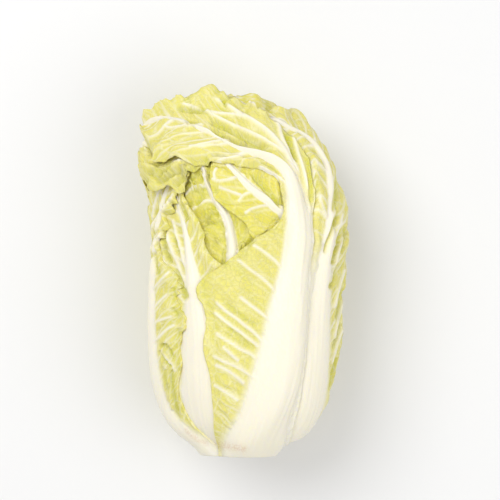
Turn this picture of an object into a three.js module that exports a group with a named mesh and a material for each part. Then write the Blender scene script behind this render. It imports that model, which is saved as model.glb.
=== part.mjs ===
// A head of napa cabbage, trimmed and lying on its side.
//
// Millimetres. +Y runs from the cut stem to the leaf tips, +Z is up, and +X is to the right of someone who
// looks down on the head with its tips away from them. The origin is on the surface that the head lies on,
// under the middle of its box.
//
// The head is a barrel. A place in it is a direction from its middle and a height over the heart's surface,
// so a leaf is a sheet that is given a height everywhere. The leaves are laid on from the heart outwards, and
// each one is draped over what lies under it, with a little air between.
import * as THREE from 'three';

// Driving dimensions of the head.
const HEART_HALF_WIDTH = 61;
const HEART_HALF_LENGTH = 122;
const HEART_HALF_DEPTH = 50;
const BASE_POWER = 3.2; // 2 is an ellipsoid, and more is squarer at the shoulders
const CROWN_POWER = 2.5;
const CROWN_SHIFT = -12; // how far the crown leans towards -X
const CROWN_BEND = [15, 100]; // where along the head it starts to lean, and where it is done
const HEAD_CENTRE = new THREE.Vector3(1.3, -1, 64); // the middle of the heart over the surface
const HEAD_HALF_LENGTH = 134.5; // from the middle to the cut face, and to the leaf tips

// Driving dimensions of the leaves.
const AIR = 0.6; // between a leaf and what it lies on
const BLADE_THICKNESS = 1;
const TIP_START = 0.87; // where a leaf starts to round off, as a share of its length
const TUCK_START = 0.93; // where a covered tip starts to lie close
const DRAPE_ROUNDS = 10;
const CLEARING_ROUNDS = 16; // in which a leaf is lifted clear of what it still cuts
const VEIN_FOLD = 0.9; // how far a blade stands up between its side veins
const VEIN_FOLD_PITCH = 26;

// Driving dimensions of the stem.
const STEM_RADIUS = 21;
const STEM_SHIFT = -2; // how far the stem stands off the middle of the head
const STEM_TOP = -96; // where the head starts to bend towards the stem

const CELLS = 14000; // directions at which the height of the pile of leaves is kept
const CELL_REACH = 1.25 * Math.sqrt((4 * Math.PI) / CELLS);
const SAMPLE_PITCH = 2.2; // over each patch of a leaf

const scale = new THREE.Vector3(HEART_HALF_WIDTH, HEART_HALF_LENGTH, HEART_HALF_DEPTH);
const clamp = THREE.MathUtils.clamp;
const smooth = THREE.MathUtils.smoothstep;
const lerp = THREE.MathUtils.lerp;

// ---- The barrel ----

const powerAt = (y) => (y < 0 ? BASE_POWER : CROWN_POWER);

// How far the middle line of the head stands off Y, at a distance along it.
const bend = (y) => STEM_SHIFT * smooth(-y, -STEM_TOP, HEAD_HALF_LENGTH) + CROWN_SHIFT * smooth(y, ...CROWN_BEND);

// The heart's radius in a direction, as a share of its half sizes.
function heartRadius(n) {
  const power = powerAt(n.y);
  const across = Math.hypot(n.x, n.z);
  return (across ** power + Math.abs(n.y) ** power) ** (-1 / power);
}

// The slope of the barrel at a direction, in millimetres, pointing out.
function barrelNormal(n) {
  const power = powerAt(n.y);
  const round = Math.hypot(n.x, n.z) ** (power - 2);
  const along = Math.sign(n.y) * Math.abs(n.y) ** (power - 1);
  return new THREE.Vector3(n.x * round, along, n.z * round).divide(scale).normalize();
}

// The point at a height over the heart's surface.
function pointAt(n, height) {
  const ray = n.clone().multiply(scale);
  ray.multiplyScalar(heartRadius(n) + height / ray.dot(barrelNormal(n)));
  ray.x += bend(ray.y);
  return ray;
}

// The direction and height of a point.
function placeOf(point) {
  const n = point.clone();
  n.x -= bend(n.y);
  n.divide(scale);
  const share = n.length();
  n.divideScalar(share);
  const height = (share - heartRadius(n)) * n.clone().multiply(scale).dot(barrelNormal(n));
  return { n, height };
}

// The direction at an azimuth round the head, 0 at the top and 90 at +X, and a distance along it.
function directionAt([azimuth, y]) {
  const along = clamp(y / HEAD_HALF_LENGTH, -1, 1);
  const power = powerAt(y);
  const across = (1 - Math.abs(along) ** power) ** (1 / power);
  const a = THREE.MathUtils.degToRad(azimuth);
  return new THREE.Vector3(across * Math.sin(a), along, across * Math.cos(a)).normalize();
}

// ---- Curves ----

// A smooth value from a few evenly spaced ones.
function along(values, u) {
  const last = values.length - 1;
  const place = clamp(u, 0, 1) * last;
  const i = Math.min(Math.floor(place), last - 1);
  const t = place - i;
  const at = (k) => values[clamp(k, 0, last)];
  const [a, b, c, d] = [at(i - 1), at(i), at(i + 1), at(i + 2)];
  return b + 0.5 * t * (c - a + t * (2 * a - 5 * b + 4 * c - d + t * (3 * (b - c) + d - a)));
}

// Directions evenly spaced along a midrib, by its length on the heart.
function midribDirections(points, count) {
  const ends = points.map(directionAt);
  const at = (u) => new THREE.Vector3(...['x', 'y', 'z'].map((k) => along(ends.map((e) => e[k]), u)))
    .normalize();
  const fine = Array.from({ length: 161 }, (_, i) => pointAt(at(i / 160), 0));
  const lengths = [0];
  for (let i = 1; i < fine.length; i++) lengths.push(lengths[i - 1] + fine[i].distanceTo(fine[i - 1]));
  const total = lengths[lengths.length - 1];
  const found = [];
  for (let row = 0, i = 0; row < count; row++) {
    const want = (total * row) / (count - 1);
    while (i < lengths.length - 2 && lengths[i + 1] < want) i++;
    const t = (want - lengths[i]) / (lengths[i + 1] - lengths[i]);
    found.push(placeOf(fine[i].clone().lerp(fine[i + 1], t)).n);
  }
  return { directions: found, length: total };
}

// ---- The pile of leaves, kept as its height and its outermost leaf in each of many directions ----

const cells = Array.from({ length: CELLS }, (_, i) => {
  const y = 1 - (2 * i + 1) / CELLS;
  const turn = i * Math.PI * (3 - Math.sqrt(5));
  const r = Math.sqrt(1 - y * y);
  return new THREE.Vector3(r * Math.cos(turn), y, r * Math.sin(turn));
});
const pileHeight = new Float64Array(CELLS);
const pileTop = new Int16Array(CELLS).fill(-1);

function cellsNear(n) {
  const found = [];
  const least = Math.cos(CELL_REACH);
  const middle = ((1 - n.y) * CELLS) / 2;
  const reach = (CELL_REACH * CELLS) / 2 + 1;
  for (let i = Math.max(Math.floor(middle - reach), 0); i < Math.min(middle + reach, CELLS); i++) {
    if (cells[i].dot(n) > least) found.push(i);
  }
  return found;
}

const highest = (near) => near.reduce((most, i) => Math.max(most, pileHeight[i]), 0);

// The point at which a direction meets the plane of the cut face.
function onCutFace(n) {
  const ray = n.clone().multiply(scale);
  return ray.multiplyScalar(-HEAD_HALF_LENGTH / ray.y);
}

// The stem's stump is in the pile from the start.
cells.forEach((n, i) => {
  if (n.y > -0.5) return;
  const point = onCutFace(n);
  if (Math.hypot(point.x, point.z) > 1.1 * STEM_RADIUS) return;
  point.x += bend(point.y);
  pileHeight[i] = placeOf(point).height;
});

// ---- Leaves ----

// The distance of each column from the midrib, on one side of a row.
function columnDistances(stalk, width, [stalkColumns, wingColumns]) {
  const wing = Math.max(width - stalk, 2);
  const inStalk = Array.from({ length: stalkColumns }, (_, i) => (stalk * (i + 1)) / stalkColumns);
  const inWing = Array.from({ length: wingColumns }, (_, i) => stalk + (wing * (i + 1)) / wingColumns);
  return [...inStalk, ...inWing];
}

// The flat lay of a leaf: for each row and column its direction, and where it is in the leaf.
function layLeaf(leaf, index) {
  const rows = leaf.rows;
  const { directions, length } = midribDirections(leaf.midrib, rows + 1);
  leaf.length = length;
  leaf.grid = directions.map((middle, row) => {
    const u = row / rows;
    const stalk = along(leaf.stalk, u);
    const before = pointAt(directions[Math.max(row - 1, 0)], 0);
    const after = pointAt(directions[Math.min(row + 1, rows)], 0);
    const forward = after.sub(before).normalize();
    const half = (widths, side, columns) => {
      const scallop = 0.07 * Math.sin((6.283 * u * length) / leaf.ruffle + 2.1 * index + side);
      const rounded = leaf.tip ?? TIP_START;
      const tip = Math.sqrt(1 - (clamp(u - rounded, 0, 1) / (1 - rounded)) ** 2);
      const width = along(widths, u) * (1 + scallop * smooth(u, 0.2, 0.45)) * Math.max(tip, 0.25);
      const distances = columnDistances(stalk, width, columns);
      const reach = distances[distances.length - 1];
      let point = pointAt(middle, 0);
      let direction = forward.clone().cross(barrelNormal(middle)).multiplyScalar(side);
      let gone = 0;
      return distances.map((distance) => {
        const steps = 3;
        for (let k = 0; k < steps; k++) {
          point.addScaledVector(direction, (distance - gone) / steps);
          const n = placeOf(point).n;
          point = pointAt(n, 0);
          const normal = barrelNormal(n);
          direction.addScaledVector(normal, -direction.dot(normal)).normalize();
          const round = new THREE.Vector3(n.z, 0, -n.x).normalize().multiplyScalar(side);
          direction.lerp(round, 0.5 * (1 - smooth(u, 0.06, 0.3))).normalize();
        }
        gone = distance;
        const out = distance / reach;
        return { n: placeOf(point).n, u, distance: side * distance, out, stalk, side };
      });
    };
    const centre = { n: middle, u, distance: 0, out: 0, stalk, side: 0 };
    const left = half(leaf.left, -1, [leaf.columns[1], leaf.columns[0]]);
    return [...left.reverse(), centre, ...half(leaf.right, 1, leaf.columns.slice(1))];
  });
}

const leafCorners = (leaf, visit) => leaf.grid.forEach((row, i) => row.forEach((c, j) => visit(c, i, j)));

// Every patch of a leaf's grid, with points spread evenly over its two triangles.
function leafPatches(leaf, visit) {
  for (let i = 0; i < leaf.grid.length - 1; i++) {
    for (let j = 0; j < leaf.grid[0].length - 1; j++) {
      const corners = [leaf.grid[i][j], leaf.grid[i][j + 1], leaf.grid[i + 1][j], leaf.grid[i + 1][j + 1]];
      const [p, q, r] = corners.map((c) => pointAt(c.n, 0));
      const samplesAlong = Math.ceil(p.distanceTo(r) / SAMPLE_PITCH);
      const samplesAcross = Math.ceil(p.distanceTo(q) / SAMPLE_PITCH);
      for (let a = 0; a < samplesAlong; a++) {
        for (let b = 0; b < samplesAcross; b++) {
          const s = (a + 0.5) / samplesAlong;
          const t = (b + 0.5) / samplesAcross;
          visit(corners, t > s ? [1 - t, t - s, 0, s] : [1 - s, 0, s - t, t]);
        }
      }
    }
  }
}

const blendPoint = (corners, weights, key) => corners.reduce(
  (sum, c, k) => sum.addScaledVector(pointAt(c.n, c[key]), weights[k]), new THREE.Vector3());

// Marks the cells that a leaf covers, before any leaf has its height.
function markCover(leaf, index) {
  leafPatches(leaf, (corners, weights) => {
    const n = corners.reduce((sum, c, k) => sum.addScaledVector(c.n, weights[k]), new THREE.Vector3());
    for (const i of cellsNear(n.normalize())) pileTop[i] = Math.max(pileTop[i], index);
  });
}

// How far a stalk stands out of its blade.
function stalkThickness(leaf, corner) {
  const across = clamp(Math.abs(corner.distance) / corner.stalk, 0, 1);
  return along(leaf.rib, corner.u) * (1 - across ** 2) ** 0.8;
}

// How much of its wave a margin keeps, as a share.
function waveKept(leaf, corner) {
  const shares = (corner.side < 0 ? leaf.calmLeft : leaf.calmRight) ?? leaf.calm ?? [1, 1];
  return clamp(along(shares, corner.u), 0, 1);
}

// Waves that a free margin stands up in.
function marginWave(leaf, corner, index) {
  const turn = (6.283 * corner.u * leaf.length) / leaf.ruffle;
  const phase = 1.7 * index + 1.1 * corner.side;
  const wave = 0.5 + 0.36 * Math.sin(turn + phase) + 0.14 * Math.sin(1.7 * turn + 2 * phase);
  const edge = smooth(corner.out, 0.3, 1) * smooth(corner.u, 0.1, 0.3);
  const end = smooth(corner.u, 0.85, 1) * 0.6;
  const slant = (6.283 * (corner.u * leaf.length - 0.9 * Math.abs(corner.distance))) / VEIN_FOLD_PITCH;
  const fold = VEIN_FOLD * Math.sin(slant + phase) * smooth(Math.abs(corner.distance), corner.stalk, 2 * corner.stalk);
  return (leaf.wave * wave * Math.max(edge, end) + leaf.lift * edge) * waveKept(leaf, corner) + fold;
}

// Folds that run out from the point at which a leaf is gathered.
function gather(leaf, corner) {
  if (!leaf.gather) return 0;
  const [x, y, folds, depth, phase] = leaf.gather;
  const point = pointAt(corner.n, 0);
  const away = Math.hypot(point.x - x, point.y - y);
  const turn = Math.atan2(point.y - y, point.x - x);
  const near = smooth(away, 3, 14) * (1 - smooth(away, 44, 60)) * smooth(corner.n.z, 0, 0.4);
  return depth * Math.abs(Math.sin((folds * turn) / 2 + phase + 0.2 * Math.sin(away / 5))) ** 0.8 * near;
}

// Gives a leaf its heights, over everything that is already in the pile.
function drapeLeaf(leaf, index) {
  leafCorners(leaf, (c) => {
    const near = cellsNear(c.n);
    c.floor = highest(near) + AIR;
    c.free = near.filter((i) => pileTop[i] <= index).length / near.length;
    c.inner = c.floor;
  });
  const grid = leaf.grid;
  for (let round = 0; round < DRAPE_ROUNDS; round++) {
    const next = grid.map((row, i) => row.map((c, j) => {
      const beside = [grid[i - 1]?.[j], grid[i + 1]?.[j], row[j - 1], row[j + 1]].filter(Boolean);
      const mean = beside.reduce((sum, b) => sum + b.inner, 0) / beside.length;
      return Math.max(c.floor, lerp(c.inner, mean, 0.6));
    }));
    leafCorners(leaf, (c, i, j) => { c.inner = next[i][j]; });
  }
  leafCorners(leaf, (c) => {
    const tucked = 0.9 * smooth(c.u, TUCK_START, 1) * (1 - c.free);
    c.inner = lerp(c.inner, c.floor, tucked);
    const crest = leaf.crest && c.side > 0 ? along(leaf.crest, c.u) * smooth(c.out, 0.2, 1) : 0;
    const loft = (leaf.loft ? along(leaf.loft, c.u) : 0) + crest;
    c.inner += (marginWave(leaf, c, index) + gather(leaf, c) + loft) * c.free;
  });
  for (let round = 0; round < CLEARING_ROUNDS; round++) {
    leafPatches(leaf, (corners, weights) => {
      const { n, height } = placeOf(blendPoint(corners, weights, 'inner'));
      const short = highest(cellsNear(n)) + 0.8 * AIR - height;
      if (short <= 0) return;
      const share = short / weights.reduce((sum, weight) => sum + weight ** 2, 0);
      corners.forEach((c, k) => { c.inner += share * weights[k]; });
    });
  }
  leafCorners(leaf, (c) => { c.outer = c.inner + BLADE_THICKNESS + stalkThickness(leaf, c); });
  leafPatches(leaf, (corners, weights) => {
    const { n, height } = placeOf(blendPoint(corners, weights, 'outer'));
    for (const i of cellsNear(n)) pileHeight[i] = Math.max(pileHeight[i], height);
  });
}

// A closed sheet: both faces are split into triangles alike, and joined round the margin.
function sheetGeometry(grid) {
  const rows = grid.length;
  const columns = grid[0].length;
  const positions = [];
  for (const key of ['outer', 'inner']) {
    for (const row of grid) {
      for (const c of row) {
        const inside = key === 'inner' ? BLADE_THICKNESS : 0;
        const p = pointAt(c.n, c[key]);
        p.y = Math.max(p.y, inside - HEAD_HALF_LENGTH);
        p.add(HEAD_CENTRE);
        positions.push(p.x, p.y, Math.max(p.z, inside));
      }
    }
  }
  const inner = rows * columns;
  const at = (i, j) => i * columns + j;
  const index = [];
  const quad = (a, b, c, d) => index.push(a, b, c, a, c, d);
  for (let i = 0; i < rows - 1; i++) {
    for (let j = 0; j < columns - 1; j++) {
      const [a, b, c, d] = [at(i, j), at(i, j + 1), at(i + 1, j + 1), at(i + 1, j)];
      index.push(a, b, c, a, c, d);
      index.push(inner + a, inner + c, inner + b, inner + a, inner + d, inner + c);
    }
  }
  for (let j = 0; j < columns - 1; j++) {
    quad(at(0, j + 1), at(0, j), inner + at(0, j), inner + at(0, j + 1));
    quad(at(rows - 1, j), at(rows - 1, j + 1), inner + at(rows - 1, j + 1), inner + at(rows - 1, j));
  }
  for (let i = 0; i < rows - 1; i++) {
    quad(at(i, 0), at(i + 1, 0), inner + at(i + 1, 0), inner + at(i, 0));
    quad(at(i + 1, columns - 1), at(i, columns - 1), inner + at(i, columns - 1), inner + at(i + 1, columns - 1));
  }
  const geometry = new THREE.BufferGeometry();
  geometry.setAttribute('position', new THREE.Float32BufferAttribute(positions, 3));
  geometry.setIndex(index);
  geometry.computeVertexNormals();
  return geometry;
}

// Each leaf, from the heart outwards. midrib is a list of [azimuth, distance along the head]; the lists
// of half widths and of the rib's thickness run evenly from the root to the tip. columns counts those of
// the left wing, of each half of the stalk and of the right wing.
const LEAVES = [
  { name: 'leaf_inner_back', rows: 12, columns: [3, 1, 3], ruffle: 40, wave: 1, lift: 0,
    midrib: [[165, -118], [170, -50], [176, 30], [180, 90], [180, 120], [20, 130]],
    stalk: [22, 20, 15, 10, 5, 2], rib: [4, 4, 3, 2, 1, 0.3],
    left: [24, 44, 54, 60, 58, 50, 34], right: [24, 44, 54, 60, 58, 50, 34] },
  { name: 'leaf_inner_right', rows: 12, columns: [3, 1, 3], ruffle: 40, wave: 3, lift: 0,
    midrib: [[70, -118], [68, -50], [62, 30], [45, 90], [10, 128]],
    stalk: [22, 20, 15, 10, 5, 2], rib: [4, 4, 3, 2, 1, 0.3],
    left: [24, 44, 56, 62, 58, 50, 26], right: [24, 44, 56, 62, 58, 50, 26] },
  { name: 'leaf_inner_left', rows: 12, columns: [3, 1, 3], ruffle: 40, wave: 4, lift: 0,
    midrib: [[-70, -118], [-70, -50], [-66, 30], [-60, 90], [-30, 124]],
    stalk: [22, 20, 15, 10, 5, 2], rib: [4, 4, 3, 2, 1, 0.3],
    left: [24, 44, 56, 62, 58, 50, 26], right: [24, 40, 50, 54, 50, 44, 20] },
  { name: 'leaf_front_inner', rows: 24, columns: [4, 2, 4], ruffle: 30, wave: 5, lift: 1,
    midrib: [[-7, -122], [-6, -100], [-6, -60], [-6, -20], [-8, 15], [-10, 36], [-15, 48], [-18, 58],
      [-20, 70], [-25, 80]],
    stalk: [20, 18, 12, 7, 3.4, 2, 1], rib: [4, 4, 3.5, 3, 2.5, 2, 0.5],
    left: [22, 34, 40, 38, 34, 32, 26, 14], right: [22, 34, 40, 36, 26, 20, 16, 10] },
  { name: 'leaf_front_middle', rows: 24, columns: [5, 2, 3], ruffle: 32, wave: 2, lift: 0,
    midrib: [[21, -126], [26, -100], [28, -60], [31, -20], [33, 15], [29, 37], [21, 46], [10, 56], [3, 66],
      [-2, 74], [-8, 84]],
    stalk: [20, 18, 14, 11, 7, 4, 2.6, 1.6], rib: [4, 4, 4, 3.5, 3.5, 3, 2.2, 1],
    left: [22, 34, 40, 40, 37, 32, 28, 25, 21, 16], right: [22, 30, 34, 34, 30, 29, 29, 29, 27, 16] },
  { name: 'leaf_back_left', rows: 18, columns: [4, 2, 4], ruffle: 44, wave: 4, lift: 0,
    midrib: [[-140, -130], [-140, -60], [-142, 20], [-148, 80], [-160, 122]],
    stalk: [22, 20, 16, 11, 5, 2], rib: [4, 4.5, 4.5, 3, 1.5, 0.4],
    left: [24, 44, 54, 60, 56, 48, 28], right: [24, 40, 44, 50, 50, 46, 28] },
  { name: 'leaf_back_right', rows: 18, columns: [4, 2, 4], ruffle: 44, wave: 4, lift: 0,
    midrib: [[128, -130], [128, -60], [126, 20], [118, 80], [92, 122]],
    stalk: [22, 20, 16, 11, 5, 2], rib: [4, 4.5, 4.5, 3, 1.5, 0.4],
    left: [24, 44, 54, 60, 56, 48, 28], right: [24, 44, 54, 60, 56, 48, 28] },
  { name: 'leaf_front_left', rows: 26, columns: [4, 2, 3], ruffle: 34, wave: 4, lift: 1,
    midrib: [[-32, -131.5], [-33, -118], [-32, -98], [-30, -74], [-29, -45], [-32, -15], [-36, 10],
      [-40, 35], [-46, 60]],
    stalk: [17, 15.5, 14.5, 13.5, 12.5, 7, 3, 1.6, 1], rib: [4, 4.5, 4.5, 4, 4, 3.5, 2, 1.2, 0.5],
    left: [19, 22, 28, 32, 34, 34, 32, 28, 20], right: [19, 20, 24, 28, 30, 26, 16, 10, 8] },
  { name: 'leaf_side_right', rows: 30, columns: [3, 2, 5], ruffle: 30, wave: 7, lift: 1,
    loft: [0, 0, 0, 0, 0, 0, 2, 5, 8, 10, 8, 4, 0], calm: [0.1, 0.1, 0.2, 0.3, 0.3, 0.4, 0.5, 0.6],
    midrib: [[58, -132], [53, -116], [50, -98], [48, -74], [49, -45], [50, -10], [53, 22], [61, 47],
      [67, 63], [68, 78], [62, 90], [50, 100], [30, 112]],
    stalk: [20, 16, 14, 12, 10, 7.5, 5, 3.5, 3, 2.2, 1.5, 1], rib: [3, 5, 5.5, 5, 4.5, 4, 3.5, 3.5, 3, 2, 0.5],
    left: [22, 18, 16, 16, 16, 18, 24, 28, 28, 24, 16], right: [22, 20, 22, 28, 33, 35, 35, 32, 30, 28, 16] },
  { name: 'leaf_side_left', rows: 30, columns: [4, 2, 5], ruffle: 34, wave: 4, lift: 0,
    calm: [0, 0, 0, 0, 0.1, 0.3, 0.4],
    midrib: [[-52, -132], [-70, -116], [-80, -98], [-80, -74], [-77, -40], [-74, -10], [-67, 20], [-56, 44],
      [-44, 64], [-38, 80]],
    stalk: [17, 15, 12, 10, 8, 4.5, 2.4, 1.6, 1], rib: [3, 4, 5, 4.5, 4, 3, 2, 1.5, 0.8],
    left: [19, 30, 36, 40, 40, 38, 34, 30, 26], right: [19, 29, 37, 41, 40, 34, 17, 13, 17, 15] },
  { name: 'leaf_crown_left', rows: 28, columns: [4, 2, 7], ruffle: 30, wave: 3, lift: 0,
    gather: [-29, 73, 14, 5, -0.73], loft: [0, 0, 0, 0, 0, 2, 4, 2, 0], calm: [0, 0, 0, 0.1, 0.5, 0.7, 0.8],
    midrib: [[-150, -131], [-150, -70], [-146, -10], [-130, 40], [-98, 78], [-62, 93], [-24, 100], [-6, 98]],
    stalk: [19, 18, 14, 11, 8, 5, 3], rib: [3, 5, 5, 4, 3, 2, 0.5],
    left: [20, 30, 34, 36, 36, 34, 34, 24], right: [20, 17, 14, 14, 12, 20, 42, 36] },
  { name: 'leaf_back_outer', rows: 22, columns: [4, 2, 4], ruffle: 40, wave: 4, lift: 0,
    midrib: [[180, -132], [180, -60], [180, 0], [180, 60], [178, 104], [176, 128]],
    stalk: [20, 21, 18, 13, 6, 2], rib: [2.5, 5, 6, 5, 3, 0.5],
    left: [22, 40, 50, 54, 52, 46, 30], right: [22, 40, 50, 54, 52, 46, 30] },
  { name: 'leaf_front_outer', rows: 38, columns: [7, 2, 5], ruffle: 34, wave: 5, lift: 2,
    crest: [0, 0, 0, 0, 0, 0, 0, 0, 0, 0, 1, 3.8, 6.4, 5.4, 2, 0],
    tip: 0.93, calmLeft: [0.1, 0.1, 0.2, 0.3, 0.3, 0.3, 0.3, 0.4, 0.5, 0.6],
    calmRight: [0, 0, 0, 0, 0, 0.1, 0.3, 0.6, 1, 1],
    midrib: [[23, -132], [11, -118], [13, -98], [18, -74], [23, -45], [27, -15], [30, 8], [33, 32], [36, 52],
      [36, 66], [28, 77], [14, 84], [-1, 90], [-16, 98], [-36, 105], [-62, 105], [-80, 99]],
    stalk: [20, 23, 22, 19, 13.5, 11, 8, 7, 6, 4.2, 3, 2.2, 1.8, 1.4, 1],
    rib: [3, 6, 7, 6.5, 6, 5.5, 5, 5, 4.5, 4, 3.5, 3, 2.5, 1.5, 0.5],
    left: [21, 26, 31, 37, 42, 48, 47, 29, 10, 7, 9, 20, 35, 39, 34, 26],
    right: [21, 23, 20, 17, 12, 9, 9, 9, 9, 13, 22, 34, 39, 34, 14, 5] },
];

LEAVES.forEach(layLeaf);
LEAVES.forEach(markCover);
LEAVES.forEach(drapeLeaf);

// ---- The heart: packed leaves, with margins that overlap round it, and the stump of the stem ----

const HEART_SEGMENTS = 36;
const HEART_RINGS = 16;
const HEART_LAYERS = 5; // margins round the heart
const LAYER_STEP = 2.4;

function heartGeometry() {
  const positions = [];
  const put = (p) => positions.push(...p.add(HEAD_CENTRE).toArray());
  const stump = (turn, share) => {
    const x = share * STEM_RADIUS * Math.cos(turn);
    return new THREE.Vector3(x + STEM_SHIFT, -HEAD_HALF_LENGTH, share * STEM_RADIUS * Math.sin(turn));
  };
  const turns = Array.from({ length: HEART_SEGMENTS }, (_, i) => (6.28318531 * i) / HEART_SEGMENTS);
  put(stump(0, 0).setX(STEM_SHIFT));
  turns.forEach((turn) => put(stump(turn, 1)));
  turns.forEach((turn) => put(pointAt(placeOf(stump(turn, 1.12)).n, -0.3)));
  for (let ring = 1; ring <= HEART_RINGS; ring++) {
    const tilt = lerp(0.36, Math.PI, ring / (HEART_RINGS + 1));
    turns.forEach((turn) => {
      const n = new THREE.Vector3(Math.sin(tilt) * Math.cos(turn), -Math.cos(tilt), Math.sin(tilt) * Math.sin(turn));
      const layer = (HEART_LAYERS * turn) / 6.28318531 + 0.8 * n.y;
      put(pointAt(n, -0.3 - LAYER_STEP * (layer - Math.floor(layer)) * smooth(Math.sin(tilt), 0.3, 0.6)));
    });
  }
  put(pointAt(new THREE.Vector3(0, 1, 0), -0.3));
  const rings = HEART_RINGS + 2;
  const at = (ring, i) => 1 + ring * HEART_SEGMENTS + (i % HEART_SEGMENTS);
  const last = 1 + rings * HEART_SEGMENTS;
  const index = [];
  for (let i = 0; i < HEART_SEGMENTS; i++) {
    index.push(0, at(0, i), at(0, i + 1));
    for (let ring = 0; ring < rings - 1; ring++) {
      const [a, b, c, d] = [at(ring, i), at(ring, i + 1), at(ring + 1, i + 1), at(ring + 1, i)];
      index.push(a, c, b, a, d, c);
    }
    index.push(last, at(rings - 1, i + 1), at(rings - 1, i));
  }
  const geometry = new THREE.BufferGeometry();
  geometry.setAttribute('position', new THREE.Float32BufferAttribute(positions, 3));
  geometry.setIndex(index);
  geometry.computeVertexNormals();
  return geometry;
}

const head = new THREE.Group();

function addPiece(name, geometry, color) {
  const mesh = new THREE.Mesh(geometry, new THREE.MeshStandardMaterial({ color, roughness: 0.6 }));
  mesh.name = name;
  head.add(mesh);
}

addPiece('heart', heartGeometry(), '#efe9a6');
LEAVES.forEach((leaf) => addPiece(leaf.name, sheetGeometry(leaf.grid), '#e9e39b'));

export default head;
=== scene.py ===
"""A trimmed head of napa cabbage that lies on its side, built leaf by leaf from the heart outwards.

Lengths are worked out in millimetres and written to the meshes in metres. A place in the head is a
direction from its middle and a height over the heart's surface, and each leaf is a sheet that is draped
over what lies under it. Its middle line, widths and rib are near those of its solid.
"""

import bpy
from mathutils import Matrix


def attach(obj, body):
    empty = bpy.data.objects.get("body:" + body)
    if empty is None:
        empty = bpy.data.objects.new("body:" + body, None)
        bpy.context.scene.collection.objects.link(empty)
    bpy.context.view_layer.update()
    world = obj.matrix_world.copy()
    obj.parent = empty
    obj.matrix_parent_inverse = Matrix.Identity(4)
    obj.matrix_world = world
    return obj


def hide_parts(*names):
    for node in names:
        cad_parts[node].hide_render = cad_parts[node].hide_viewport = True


bl_info = {
    "name": "Napa Cabbage",
    "version": (1, 0, 0),
    "blender": (4, 5, 0),
    "location": "3D View > Sidebar > Cabbage",
    "description": "Builds a trimmed head of napa cabbage with veined leaves, and a pale floor to show it on",
    "category": "Add Mesh",
}

import math

import bpy
import numpy as np
from bpy.props import FloatProperty, FloatVectorProperty, IntProperty, PointerProperty
from mathutils import Vector

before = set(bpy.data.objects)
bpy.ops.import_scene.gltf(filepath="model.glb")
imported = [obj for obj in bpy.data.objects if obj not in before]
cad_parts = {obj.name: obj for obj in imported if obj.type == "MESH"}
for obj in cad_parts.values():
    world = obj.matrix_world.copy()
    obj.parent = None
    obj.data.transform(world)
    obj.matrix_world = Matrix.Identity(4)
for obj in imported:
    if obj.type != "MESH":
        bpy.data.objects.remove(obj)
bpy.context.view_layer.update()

MM = 0.001
TURN = 2 * math.pi

# ---- The barrel of the head, in millimetres ----

HEART_HALF_SIZES = np.array([61.0, 122.0, 50.0])
BASE_POWER = 3.2  # how square the barrel is towards the stem, where 2 would be round
CROWN_POWER = 2.5
CROWN_SHIFT = -12.0
CROWN_BEND = (15.0, 100.0)  # where along the head the crown starts to lean and has leant over
HEAD_CENTRE = np.array([1.3, -1.0, 64.0])
HEAD_HALF_LENGTH = 134.5
STEM_RADIUS = 21.0
STEM_SHIFT = -2.0
STEM_START = 96.0  # how far from the middle the stem starts to shift

# ---- The leaves, in millimetres ----

# Lists run from the root of a leaf to its tip, all but midrib evenly. Each leaf has
#   midrib: azimuth in degrees, and distance along the head, of points on its middle line
#   stalk and rib: half the width of the stalk, and how thick it is in the middle
#   left and right: the widths of its two wings
#   grid: rows of its mesh, and columns of each wing
#   ruffle, wave and lift: length and height of a free margin's waves, and how far the margin stands off
# and it can have
#   loft and crest: how far the leaf, or the margin of its right wing, is raised
#   gather: the place that it is gathered to, the folds round it, their depth and their phase
#   crinkle and crumple: times the usual crinkles, and the height of sharp ones
#   tip and ragged: where its tip starts to round off, and how far its margin is torn
#   added_shade: how much more painted shade its blade takes in the colour of creases, or less below 0
#   slant_left and slant_right: how steeply the side veins of a wing run
# and, as shares for both wings or one,
#   lively: of its waves and frills that are left
#   fine: of its small veins that are left
#   hug: of the room under its margin that is closed up
#   pale: of its blade that looks like stalk
CLOSED_STALK = dict(stalk=[22, 20, 15, 10, 5, 2], rib=[4, 4, 3, 2, 1, 0.3])
CLOSED_WING = [24, 44, 56, 62, 58, 50, 26]
UNDER_WING = [24, 44, 54, 60, 58, 50, 34]
BACK_STALK = dict(stalk=[22, 20, 16, 11, 5, 2], rib=[4, 4.5, 4.5, 3, 1.5, 0.4])
BACK_WING = [24, 44, 54, 60, 56, 48, 28]
BACK_OUTER_WING = [22, 40, 50, 54, 52, 46, 30]

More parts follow.
